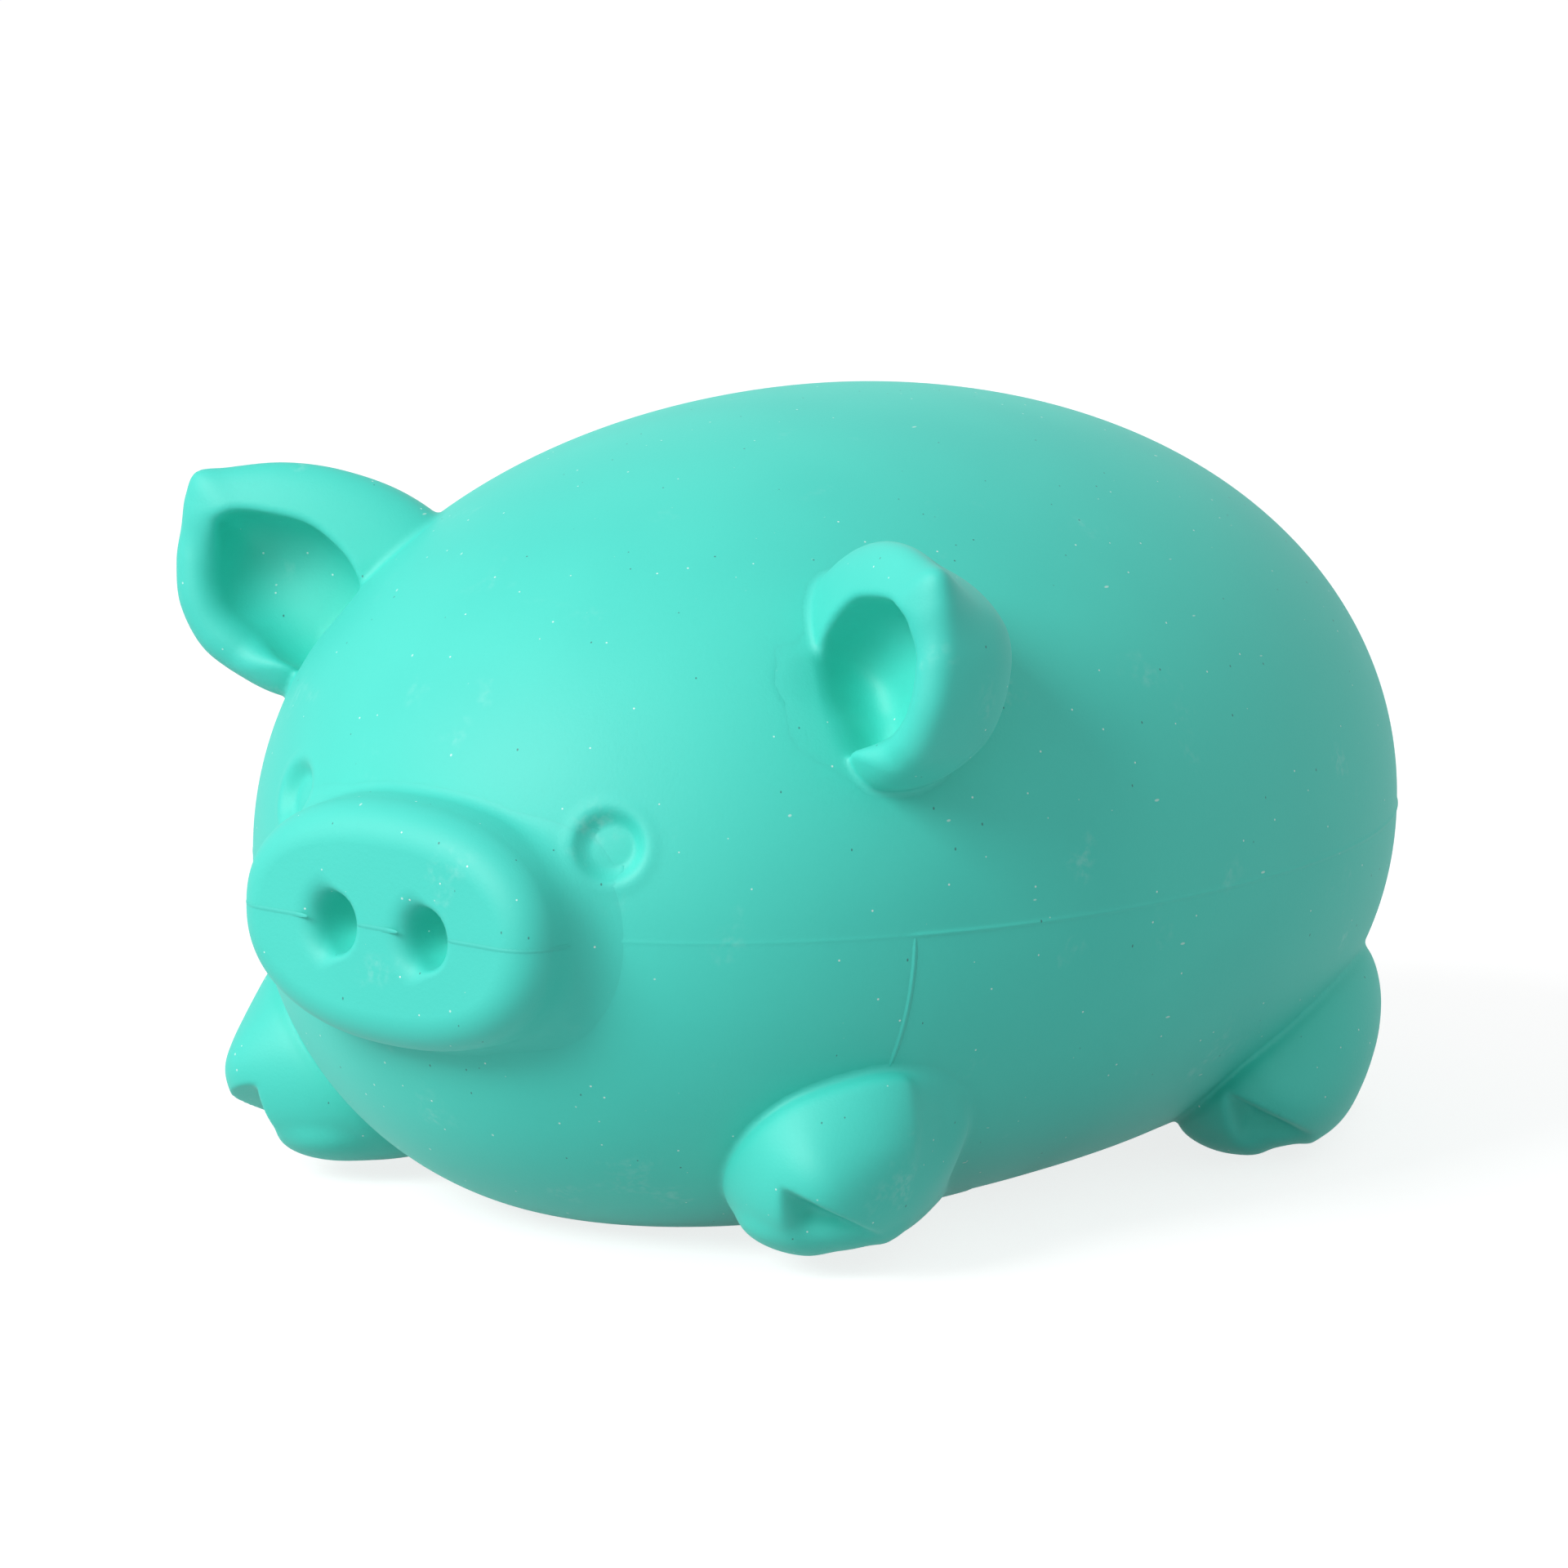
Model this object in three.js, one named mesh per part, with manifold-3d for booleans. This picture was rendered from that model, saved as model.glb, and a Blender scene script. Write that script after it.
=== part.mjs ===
// A palm-sized pig squeeze toy: one soft rubber skin, moulded in a two-part mould, round a dough filling.
// Units are millimetres and +Z is up. The pig looks along -Y, its own left side is +X, and its flat
// belly rests on z = 0. Every size is a real one: change it here and what it carries or fits follows.
import * as THREE from "three";
import { mergeVertices } from "three/addons/utils/BufferGeometryUtils.js";
import Module from "manifold-3d";

const wasm = await Module();
wasm.setup();

// Body: an egg on its side, whose widest line is the parting line of the mould
const BODY_LENGTH = 88;
const BODY_WIDTH = 66.8;
const PARTING_HEIGHT = 22.5; // floor to the parting line
const CROWN_HEIGHT = 28.9; // parting line to the highest point of the back
const BELLY_DEPTH = 25.4; // parting line to the underside, before the belly is cut flat
const BODY_SQUARENESS = 2.05; // 2 is a plain ellipse, more is boxier
const WIDTH_FULLNESS = { rear: 0.033, ends: 0.053 }; // extra size, as shares, at the rump and at both ends
const CROWN_FULLNESS = { rear: 0.021, ends: 0.05 };
const BELLY_FULLNESS = { rear: 0.015, ends: 0.364 };

// Skin, filling and the plug in the filling hole
const SKIN_WALL = 2.5;
const FIT_GAP = 0.3; // between any two neighbours
const PORT_DIAMETER = 5;
const PORT_Y = 14; // behind the middle of the belly
const PLUG_HEAD_DIAMETER = 8;
const PLUG_HEAD_THICKNESS = 0.8;
const PLUG_HEAD_SUNK = 0.3; // below the belly, so that the toy doesn't stand on it
const PLUG_BARB_DIAMETER = 6.2;
const PLUG_BARB_LENGTH = 1.6;

// Face
const SNOUT_WIDTH = 24.6;
const SNOUT_HEIGHT = 15.8;
const SNOUT_LENGTH = 3.1; // face of the snout to the front of the egg
const SNOUT_DROP = 0.1; // middle of the snout below the parting line
const SNOUT_SQUARENESS = 2.25;
const SNOUT_RIM_RADIUS = 2.6;
const SNOUT_FLARE = 0.65; // how much the half-width grows from the rim to the root
const SNOUT_ROOT = 8.8; // how far behind the front of the egg the sides of the snout end, inside the head
const NOSTRIL_SPACING = 7.4;
const NOSTRIL_WIDTH = 3.7;
const NOSTRIL_HEIGHT = 4.1;
const NOSTRIL_DEPTH = 2.4;
const EYE_SPACING = 25.8;
const EYE_HEIGHT = 28.4;
const EYE_DIAMETER = 4.8;
const EYE_DEPTH = 0.9;
const EYE_LIP = 0.9; // thickness of the soft ring round each eye

// Ears: cupped leaves on a root line that leans inwards as it climbs
const EAR_INSET = 20.8; // middle of the root line, behind the front of the egg
const EAR_Y = EAR_INSET - BODY_LENGTH / 2;
const EAR_HEIGHT = 37.6; // middle of the root line
const EAR_FACING = new THREE.Vector3(-0.457, -0.881, 0.121); // where the left ear's hollow looks
const EAR_ROOT_LINE = new THREE.Vector3(-0.534, 0.381, 0.755); // from the lower to the upper end of its root
const EAR_SPAN = 15.8; // across the leaf, from root to tip side
const EAR_TALLNESS = 17; // along the root line
const EAR_REACH = 3.8; // middle of the leaf, outward of the root
const EAR_LIFT = 0.2; // middle of the leaf, along the root line from the hinge point
const EAR_TIP = 2.1; // how far the pointed corner stands out of the oval at the rim; none at the back
const EAR_TIP_SPREAD = 0.24; // half-angle of that corner, radians
const EAR_THICKNESS = 9.9;
const EAR_HOLLOW_DEPTH = 5;
const EAR_HOLLOW = { span: 11.8, tallness: 8, reach: 3.6, lift: -1.1 };
const EAR_ROOT_DEPTH = 5.5; // hinge line behind the rim of the ear
const EAR_SWING = 15; // degrees each way that an ear bends

// Feet: each is two toe lobes that grow out of the belly's side, one over the other
const FRONT_FOOT_INSET = 21; // foothold behind the front of the egg
const REAR_FOOT_INSET = 24.5; // foothold before the rump
const FRONT_FOOT = { y: FRONT_FOOT_INSET - BODY_LENGTH / 2, height: 7, standOff: 0, scale: 1 };
const REAR_FOOT = { y: BODY_LENGTH / 2 - REAR_FOOT_INSET, height: 5.6, standOff: 2.8, scale: 0.92 };
const UPPER_TOE = {
  middle: new THREE.Vector3(-9.8, 11.6, 0.1), // from the foothold, a point of the skin
  frontLength: 24.9,
  rearLength: 9,
  halfWidth: 7.5,
  halfThickness: 4.4,
  forward: new THREE.Vector3(0.491, -0.871, 0.008),
  across: new THREE.Vector3(0.604, 0.334, -0.724),
};
const LOWER_TOE = {
  middle: new THREE.Vector3(-5.1, 2.8, 3.9),
  frontLength: 15.1,
  rearLength: 12,
  halfWidth: 8,
  halfThickness: 9.1,
  forward: new THREE.Vector3(0.396, -0.816, -0.422),
  across: new THREE.Vector3(0.426, 0.57, -0.703),
};
const CLEFT = {
  middle: new THREE.Vector3(1.5, -10, -1.6), // a thin lens cut in from the tip, between the toes
  frontLength: 5.2,
  rearLength: 5.2,
  halfWidth: 3.6,
  halfThickness: 0.9,
  forward: new THREE.Vector3(0.55, 0.71, -0.44),
  across: new THREE.Vector3(-0.45, 0.85, 0.1),
};

// Tail: a flat curl in relief on the rump
const TAIL_HEIGHT = 30.5;
const TAIL_CURL_DIAMETER = 8;
const TAIL_THICKNESS = 2.6;
const TAIL_TURNS = 1.3;
const TAIL_TIGHTENING = 0.7; // share of its radius that the curl has lost at its end

const SEA_GREEN = new THREE.Color().setRGB(0.34, 0.83, 0.77, THREE.SRGBColorSpace);
const DOUGH_WHITE = new THREE.Color().setRGB(0.9, 0.9, 0.86, THREE.SRGBColorSpace);

function rubber(color, roughness) {
  return new THREE.MeshStandardMaterial({ color, roughness, metalness: 0 });
}

// A closed mesh as a solid that can be joined and cut.
function solidOf(geometry) {
  const bare = new THREE.BufferGeometry().setAttribute("position", geometry.getAttribute("position"));
  bare.setIndex(geometry.index);
  const merged = mergeVertices(bare, 1e-4);
  return new wasm.Manifold(
    new wasm.Mesh({
      numProp: 3,
      vertProperties: merged.attributes.position.array,
      triVerts: new Uint32Array(merged.index.array),
    }),
  );
}

// The same solid as a geometry again.
function geometryOf(solid) {
  const mesh = solid.getMesh();
  const geometry = new THREE.BufferGeometry();
  geometry.setAttribute("position", new THREE.BufferAttribute(mesh.vertProperties, 3));
  geometry.setIndex(new THREE.BufferAttribute(mesh.triVerts, 1));
  geometry.computeVertexNormals();
  return geometry;
}

// A closed surface of rings between two poles. pointAt(along, around) takes shares from 0 to 1.
function ringSolid(pointAt, rings, sides) {
  const points = [pointAt(0, 0)];
  const faces = [];
  for (let ring = 1; ring < rings; ring += 1) {
    for (let side = 0; side < sides; side += 1) {
      points.push(pointAt(ring / rings, (side + 0.5) / sides));
    }
  }
  points.push(pointAt(1, 0));
  const last = points.length - 1;
  const at = (ring, side) => 1 + (ring - 1) * sides + (side % sides);
  for (let side = 0; side < sides; side += 1) {
    faces.push(0, at(1, side), at(1, side + 1));
    faces.push(last, at(rings - 1, side + 1), at(rings - 1, side));
    for (let ring = 1; ring < rings - 1; ring += 1) {
      faces.push(at(ring, side), at(ring + 1, side), at(ring + 1, side + 1));
      faces.push(at(ring, side), at(ring + 1, side + 1), at(ring, side + 1));
    }
  }
  const geometry = new THREE.BufferGeometry().setFromPoints(points);
  geometry.setIndex(faces);
  return solidOf(geometry);
}

// Everything above the given height, as a block far larger than the toy.
function above(height) {
  const size = 3 * BODY_LENGTH;
  return solidOf(new THREE.BoxGeometry(size, size, size).translate(0, 0, height + size / 2));
}

function below(height) {
  const size = 3 * BODY_LENGTH;
  return solidOf(new THREE.BoxGeometry(size, size, size).translate(0, 0, height - size / 2));
}

// The mirror image in the plane x = 0, with its faces turned round so that they still point outwards.
function mirrored(solid) {
  const geometry = geometryOf(solid).scale(-1, 1, 1);
  const index = geometry.index.array;
  for (let i = 0; i < index.length; i += 3) {
    [index[i + 1], index[i + 2]] = [index[i + 2], index[i + 1]];
  }
  return solidOf(geometry);
}

// The solid of a geometry, placed by a matrix.
function placed(geometry, matrix) {
  return solidOf(geometry.clone().applyMatrix4(matrix));
}

const round = (value, power) => Math.sign(value) * Math.abs(value) ** power;
const fullness = (share, { rear, ends }) => 1 + rear * share + ends * share * share;

// Half-width, crown and belly of the egg at a share of its length, from -1 at the snout to 1 at the rump.
function bodyReach(share, inset) {
  return {
    width: (BODY_WIDTH / 2 - inset) * fullness(share, WIDTH_FULLNESS),
    crown: (CROWN_HEIGHT - inset) * fullness(share, CROWN_FULLNESS),
    belly: (BELLY_DEPTH - inset) * fullness(share, BELLY_FULLNESS),
  };
}

// The egg as a solid, drawn in by an inset from the outer face of the skin.
function bodySolid(inset, rings, sides) {
  const power = 2 / BODY_SQUARENESS;
  return ringSolid(
    (along, around) => {
      const share = round(-Math.cos(Math.PI * along), power);
      const girth = round(Math.sin(Math.PI * along), power);
      const angle = 2 * Math.PI * around;
      const reach = bodyReach(share, inset);
      const rise = round(Math.sin(angle), power);
      return new THREE.Vector3(
        reach.width * girth * round(Math.cos(angle), power),
        (BODY_LENGTH / 2 - inset) * share,
        PARTING_HEIGHT + (rise > 0 ? reach.crown : reach.belly) * girth * rise,
      );
    },
    rings,
    sides,
  );
}

// Below 0 inside the egg, 0 on the skin, above 0 outside.
function bodyLevel(point) {
  const share = point.y / (BODY_LENGTH / 2);
  const reach = bodyReach(share, 0);
  const rise = point.z - PARTING_HEIGHT;
  const parts = [point.x / reach.width, share, rise / (rise > 0 ? reach.crown : reach.belly)];
  return parts.reduce((sum, part) => sum + Math.abs(part) ** BODY_SQUARENESS, -1);
}

// The point of the skin met from inside the egg along a direction.
function onSkin(inside, direction) {
  let near = 0;
  let far = BODY_LENGTH;
  for (let halving = 0; halving < 40; halving += 1) {
    const middle = (near + far) / 2;
    const point = inside.clone().addScaledVector(direction, middle);
    if (bodyLevel(point) < 0) near = middle;
    else far = middle;
  }
  return inside.clone().addScaledVector(direction, near);
}

// The outward direction of the skin at one of its points.
function skinNormal(point) {
  const step = 0.01;
  const slope = (axis) => {
    const ahead = point.clone().addScaledVector(axis, step);
    const back = point.clone().addScaledVector(axis, -step);
    return bodyLevel(ahead) - bodyLevel(back);
  };
  const x = slope(new THREE.Vector3(1, 0, 0));
  const y = slope(new THREE.Vector3(0, 1, 0));
  const z = slope(new THREE.Vector3(0, 0, 1));
  return new THREE.Vector3(x, y, z).normalize();
}

const FORWARDS = new THREE.Vector3(0, -1, 0);
const BACKWARDS = new THREE.Vector3(0, 1, 0);
const LEFTWARDS = new THREE.Vector3(1, 0, 0);

// Body skin: an even wall round the cavity, flat where it rests
const cavity = bodySolid(SKIN_WALL, 18, 28).intersect(above(SKIN_WALL));
const outerBody = bodySolid(0, 28, 40).intersect(above(0));
const bodyAndGap = bodySolid(-FIT_GAP, 28, 40);

// The filling hole in the belly: a bore with a shallow seat for the plug's head
const plugSeat = PLUG_HEAD_SUNK + PLUG_HEAD_THICKNESS + FIT_GAP;
function disc(diameter, low, high) {
  const geometry = new THREE.CylinderGeometry(diameter / 2, diameter / 2, high - low, 24);
  return solidOf(geometry.rotateX(Math.PI / 2).translate(0, PORT_Y, (low + high) / 2));
}
const port = disc(PORT_DIAMETER, -1, 2 * SKIN_WALL);
const portSeat = disc(PLUG_HEAD_DIAMETER + 2 * FIT_GAP, -1, plugSeat);

// One eye: a shallow round dent with a soft ring round it
function eyeTools(side) {
  const inside = new THREE.Vector3((side * EYE_SPACING) / 2, 0, EYE_HEIGHT);
  const middle = onSkin(inside, FORWARDS);
  const outward = skinNormal(middle);
  const turn = new THREE.Quaternion().setFromUnitVectors(new THREE.Vector3(0, 0, 1), outward);
  const place = new THREE.Matrix4().compose(middle, turn, new THREE.Vector3(1, 1, 1));
  const ballRadius = ((EYE_DIAMETER / 2) ** 2 + EYE_DEPTH ** 2) / (2 * EYE_DEPTH);
  const ball = new THREE.SphereGeometry(ballRadius, 20, 14).translate(0, 0, ballRadius - EYE_DEPTH);
  const ring = new THREE.TorusGeometry((EYE_DIAMETER + EYE_LIP) / 2, EYE_LIP / 2, 6, 20);
  return { dent: placed(ball, place), lip: placed(ring.translate(0, 0, -EYE_LIP / 4), place) };
}

function bodySkin() {
  let skin = outerBody;
  for (const side of [1, -1]) {
    const { dent, lip } = eyeTools(side);
    skin = skin.add(lip).subtract(dent);
  }
  return skin.subtract(cavity).subtract(port).subtract(portSeat);
}

function filling() {
  const room = bodySolid(SKIN_WALL + FIT_GAP, 18, 28).intersect(above(SKIN_WALL + FIT_GAP));
  const barbTop = SKIN_WALL + FIT_GAP + PLUG_BARB_LENGTH;
  return room.subtract(disc(PLUG_BARB_DIAMETER + 2 * FIT_GAP, 0, barbTop + FIT_GAP));
}

// The plug: head in its seat, neck in the bore, and a barb that holds behind the wall
function fillPlug() {
  const headTop = PLUG_HEAD_SUNK + PLUG_HEAD_THICKNESS;
  const barbLow = SKIN_WALL + FIT_GAP;
  const neck = PORT_DIAMETER / 2 - FIT_GAP;
  const profile = [
    [0, PLUG_HEAD_SUNK],
    [PLUG_HEAD_DIAMETER / 2, PLUG_HEAD_SUNK],
    [PLUG_HEAD_DIAMETER / 2, headTop],
    [neck, headTop],
    [neck, barbLow],
    [PLUG_BARB_DIAMETER / 2, barbLow],
    [neck, barbLow + PLUG_BARB_LENGTH],
    [0, barbLow + PLUG_BARB_LENGTH],
  ].map(([radius, height]) => new THREE.Vector2(radius, height));
  return new THREE.LatheGeometry(profile, 24).rotateX(Math.PI / 2).translate(0, PORT_Y, 0);
}

// The snout: an oval button with a rounded rim, which widens a little towards the head
function snout() {
  const face = -(BODY_LENGTH / 2 + SNOUT_LENGTH);
  const rimStart = face + SNOUT_RIM_RADIUS;
  const root = -BODY_LENGTH / 2 + SNOUT_ROOT;
  const rimSteps = 5;
  const sideSteps = 4;
  const steps = [];
  for (let step = 0; step <= rimSteps; step += 1) {
    const turn = (Math.PI / 2) * (step / rimSteps);
    const y = rimStart - SNOUT_RIM_RADIUS * Math.cos(turn);
    steps.push({ y, grow: SNOUT_RIM_RADIUS * (Math.sin(turn) - 1) });
  }
  for (let step = 1; step <= sideSteps; step += 1) {
    const share = step / sideSteps;
    steps.push({ y: rimStart + (root - rimStart) * share, grow: SNOUT_FLARE * share });
  }
  const rings = steps.length + 1;
  const power = 2 / SNOUT_SQUARENESS;
  const solid = ringSolid(
    (along, around) => {
      const ring = Math.round(along * rings);
      const { y, grow } = steps[Math.min(Math.max(ring - 1, 0), steps.length - 1)];
      const angle = 2 * Math.PI * around;
      const size = ring === 0 || ring === rings ? 0 : 1;
      return new THREE.Vector3(
        size * (SNOUT_WIDTH / 2 + grow) * round(Math.cos(angle), power),
        y,
        PARTING_HEIGHT - SNOUT_DROP + size * (SNOUT_HEIGHT / 2 + grow) * round(Math.sin(angle), power),
      );
    },
    rings,
    32,
  );
  return [1, -1].reduce((shape, side) => shape.subtract(nostril(side, face)), solid).subtract(bodyAndGap);
}

// A nostril: a blind hole with a rounded end, taller than it is wide
function nostril(side, face) {
  const radius = NOSTRIL_WIDTH / 2;
  const hole = new THREE.CapsuleGeometry(radius, 2 * (NOSTRIL_DEPTH - radius), 4, 14);
  hole.scale(1, 1, NOSTRIL_HEIGHT / NOSTRIL_WIDTH);
  hole.translate((side * NOSTRIL_SPACING) / 2, face, PARTING_HEIGHT - SNOUT_DROP);
  return solidOf(hole);
}

// The place of the left ear: its hinge point on the skin, x outward, y backward, z along the root line
function earPlace() {
  const backward = EAR_FACING.clone().normalize().negate();
  const upward = EAR_ROOT_LINE.clone().addScaledVector(backward, -EAR_ROOT_LINE.dot(backward)).normalize();
  const outward = new THREE.Vector3().crossVectors(backward, upward);
  const hinge = onSkin(new THREE.Vector3(0, EAR_Y, EAR_HEIGHT), LEFTWARDS);
  return new THREE.Matrix4().makeBasis(outward, backward, upward).setPosition(hinge);
}

// The ear's sections, from the floor of its hollow over the rim to the middle of its back.
// Each holds the size of the section, its share of the outer outline against the hollow's, and its depth.
function earProfile() {
  const rim = EAR_THICKNESS / 4;
  return new THREE.CatmullRomCurve3(
    [
      [0, 0, EAR_HOLLOW_DEPTH],
      [0.55, 0, EAR_HOLLOW_DEPTH * 0.94],
      [0.88, 0, EAR_HOLLOW_DEPTH * 0.6],
      [1, 0.08, EAR_HOLLOW_DEPTH * 0.14],
      [1, 0.5, 0],
      [1, 0.93, rim * 0.4],
      [1, 1, rim],
      [0.94, 1, EAR_THICKNESS * 0.55],
      [0.7, 1, EAR_THICKNESS * 0.86],
      [0.35, 1, EAR_THICKNESS * 0.98],
      [0, 1, EAR_THICKNESS],
    ].map(([size, share, depth]) => new THREE.Vector3(size, share, depth)),
  );
}

function leftEar() {
  const profile = earProfile();
  const leaf = ringSolid(
    (along, around) => {
      const station = profile.getPoint(along);
      const angle = 2 * Math.PI * around;
      const fromTip = Math.atan2(Math.sin(angle), Math.cos(angle));
      const tip = EAR_TIP * (1 - station.z / EAR_THICKNESS) * Math.exp(-((fromTip / EAR_TIP_SPREAD) ** 2));
      const outer = {
        x: EAR_REACH + (EAR_SPAN / 2 + tip) * Math.cos(angle) * station.x,
        z: EAR_LIFT + (EAR_TALLNESS / 2) * Math.sin(angle) * station.x,
      };
      const hollow = {
        x: EAR_HOLLOW.reach + (EAR_HOLLOW.span / 2) * Math.cos(angle) * station.x,
        z: EAR_HOLLOW.lift + (EAR_HOLLOW.tallness / 2) * Math.sin(angle) * station.x,
      };
      return new THREE.Vector3(
        THREE.MathUtils.lerp(hollow.x, outer.x, station.y),
        station.z - EAR_ROOT_DEPTH,
        THREE.MathUtils.lerp(hollow.z, outer.z, station.y),
      );
    },
    18,
    26,
  );
  // The root keeps clear of the skin at rest and at both ends of its swing
  const place = earPlace();
  const away = place.clone().invert();
  let ear = leaf;
  for (const swing of [0, EAR_SWING, -EAR_SWING]) {
    const turn = new THREE.Matrix4().makeRotationZ(THREE.MathUtils.degToRad(swing));
    ear = ear.subtract(placed(geometryOf(bodyAndGap), turn.multiply(away)));
  }
  return largestPiece(placed(geometryOf(ear), place));
}

// A cut can leave a crumb inside the body, so only the largest piece is the real one.
function largestPiece(solid) {
  return solid.decompose().sort((a, b) => b.volume() - a.volume())[0];
}

// A lobe laid along its forward direction, long in front of its middle and blunter behind it
function lobe(form, scale, foothold) {
  const { middle, frontLength, rearLength, halfWidth, halfThickness, forward, across } = form;
  const ahead = forward.clone().normalize();
  const side = across.clone().addScaledVector(ahead, -across.dot(ahead)).normalize();
  const up = new THREE.Vector3().crossVectors(side, ahead);
  const centre = middle.clone().multiplyScalar(scale).add(foothold);
  return ringSolid(
    (along, around) => {
      const reach = along < 0.5 ? rearLength : frontLength;
      const girth = scale * Math.sin(Math.PI * along);
      const angle = 2 * Math.PI * around;
      return centre
        .clone()
        .addScaledVector(ahead, -scale * reach * Math.cos(Math.PI * along))
        .addScaledVector(side, girth * halfWidth * Math.cos(angle))
        .addScaledVector(up, girth * halfThickness * Math.sin(angle));
    },
    16,
    20,
  );
}

function leftFoot({ y, height, standOff, scale }) {
  const foothold = onSkin(new THREE.Vector3(0, y, height), LEFTWARDS);
  foothold.x += standOff;
  const [upper, lower, cleft] = [UPPER_TOE, LOWER_TOE, CLEFT].map((form) => lobe(form, scale, foothold));
  return largestPiece(upper.add(lower).subtract(cleft).subtract(bodyAndGap).intersect(above(0)));
}

// The tail: a tube along a flat spiral that lies on the rump, its inner half sunk in the skin
function tail() {
  const turns = 2 * Math.PI * TAIL_TURNS;
  const steps = 26;
  const points = [];
  for (let step = 0; step <= steps; step += 1) {
    const share = step / steps;
    const radius = (TAIL_CURL_DIAMETER / 2) * (1 - TAIL_TIGHTENING * share);
    const angle = -Math.PI / 2 + turns * share;
    const spot = new THREE.Vector3(radius * Math.cos(angle), 0, TAIL_HEIGHT + radius * Math.sin(angle));
    points.push(onSkin(spot, BACKWARDS));
  }
  const section = new THREE.Shape().absarc(0, 0, TAIL_THICKNESS / 2, 0, 2 * Math.PI);
  const tube = new THREE.ExtrudeGeometry(section, {
    steps,
    curveSegments: 4,
    extrudePath: new THREE.CatmullRomCurve3(points),
  });
  return largestPiece(solidOf(tube).subtract(bodyAndGap));
}

// Assembly
const pig = new THREE.Group();
pig.name = "pig_squishy_toy";

function add(name, shape, color = SEA_GREEN, roughness = 0.55) {
  const geometry = shape.isBufferGeometry ? shape : geometryOf(shape);
  const mesh = new THREE.Mesh(geometry, rubber(color, roughness));
  mesh.name = name;
  pig.add(mesh);
}

const skin = bodySkin();
add("skin_upper", skin.intersect(above(PARTING_HEIGHT + FIT_GAP / 2)));
add("skin_lower", skin.intersect(below(PARTING_HEIGHT - FIT_GAP / 2)));
add("filling", filling(), DOUGH_WHITE, 0.8);
add("fill_plug", fillPlug(), SEA_GREEN, 0.4);
add("snout", snout());
add("tail", tail());

const pairs = { ear: leftEar(), foot_front: leftFoot(FRONT_FOOT), foot_rear: leftFoot(REAR_FOOT) };
for (const [name, left] of Object.entries(pairs)) {
  add(`${name}_left`, left);
  add(`${name}_right`, mirrored(left));
}

export default pig;
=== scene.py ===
# %% [markdown]
# # A pig squeeze toy in soft rubber
# The real toy is one skin of matte sea-green rubber from a two-part mould. It's taken to be filled with
# dough, as such toys are. This lesson dresses its engineering model, which keeps the sizes, the joints and
# the bodies; here every soft form gets its real swelling, its fillets, its mould lines and its finish.

import bpy
import numpy as np
from mathutils import Matrix


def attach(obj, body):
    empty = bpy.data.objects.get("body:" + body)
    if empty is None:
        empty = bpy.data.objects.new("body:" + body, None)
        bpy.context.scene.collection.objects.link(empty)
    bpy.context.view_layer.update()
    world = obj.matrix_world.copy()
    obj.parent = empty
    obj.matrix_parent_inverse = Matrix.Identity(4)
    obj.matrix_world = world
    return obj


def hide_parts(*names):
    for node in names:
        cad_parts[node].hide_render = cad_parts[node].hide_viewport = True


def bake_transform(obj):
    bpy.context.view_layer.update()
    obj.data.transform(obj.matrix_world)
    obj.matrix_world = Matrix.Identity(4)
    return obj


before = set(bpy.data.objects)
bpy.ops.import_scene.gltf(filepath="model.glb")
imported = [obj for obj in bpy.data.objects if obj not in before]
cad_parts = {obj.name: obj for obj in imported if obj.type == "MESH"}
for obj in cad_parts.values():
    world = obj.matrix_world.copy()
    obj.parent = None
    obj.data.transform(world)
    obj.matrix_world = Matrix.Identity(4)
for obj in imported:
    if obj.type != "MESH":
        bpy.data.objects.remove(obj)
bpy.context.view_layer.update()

# %% [markdown]
# ## Small tools
# All shapes are worked out in millimetres, as numpy arrays, and become metres when a mesh is made. A mesh
# could be built face by face in a loop. Whole arrays are shorter to read and a hundred times faster.

# %% Meshes from arrays
MM = 0.001


def unit(v):
    """The same directions with length 1."""
    v = np.asarray(v, float)
    return v / np.linalg.norm(v, axis=-1, keepdims=True)


def smooth_step(low, high, value):
    """0 below low, 1 above high, and a curve that starts and ends level between them."""
    share = np.clip((value - low) / (high - low), 0, 1)
    return share * share * (3 - 2 * share)


def make_piece(name, points, faces, material):
    """A mesh object at the origin from points in millimetres and faces as rows of point numbers."""
    mesh = bpy.data.meshes.new(name)
    mesh.from_pydata((np.asarray(points) * MM).tolist(), [], [list(face) for face in faces])
    mesh.polygons.foreach_set("use_smooth", np.ones(len(mesh.polygons), bool))
    mesh.update()
    mesh.materials.append(material)
    piece = bpy.data.objects.new(name, mesh)
    bpy.context.scene.collection.objects.link(piece)
    print(name, len(points), "points,", sum(len(p.vertices) - 2 for p in mesh.polygons), "triangles")
    return piece


def ring_faces(rings, sides):
    """Quads of a tube of closed rings, which face outwards where the sides run anticlockwise."""
    ring, side = np.meshgrid(np.arange(rings - 1), np.arange(sides), indexing="ij")
    after = (side + 1) % sides
    here, beyond = ring * sides, (ring + 1) * sides
    return np.stack([here + side, here + after, beyond + after, beyond + side], -1).reshape(-1, 4)


def close_ends(grid):
    """Points and faces of a tube of rings. A fan of triangles to a point in its middle closes each end."""
    rings, sides = grid.shape[:2]
    first, last = rings * sides, rings * sides + 1
    points = np.concatenate([grid.reshape(-1, 3), [grid[0].mean(0)], [grid[-1].mean(0)]])
    side = np.arange(sides)
    after = (side + 1) % sides
    start = np.stack([np.full(sides, first), after, side], -1)
    end = np.stack([np.full(sides, last), (rings - 1) * sides + side, (rings - 1) * sides + after], -1)
    return points, ring_faces(rings, sides).tolist() + start.tolist() + end.tolist()


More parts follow.
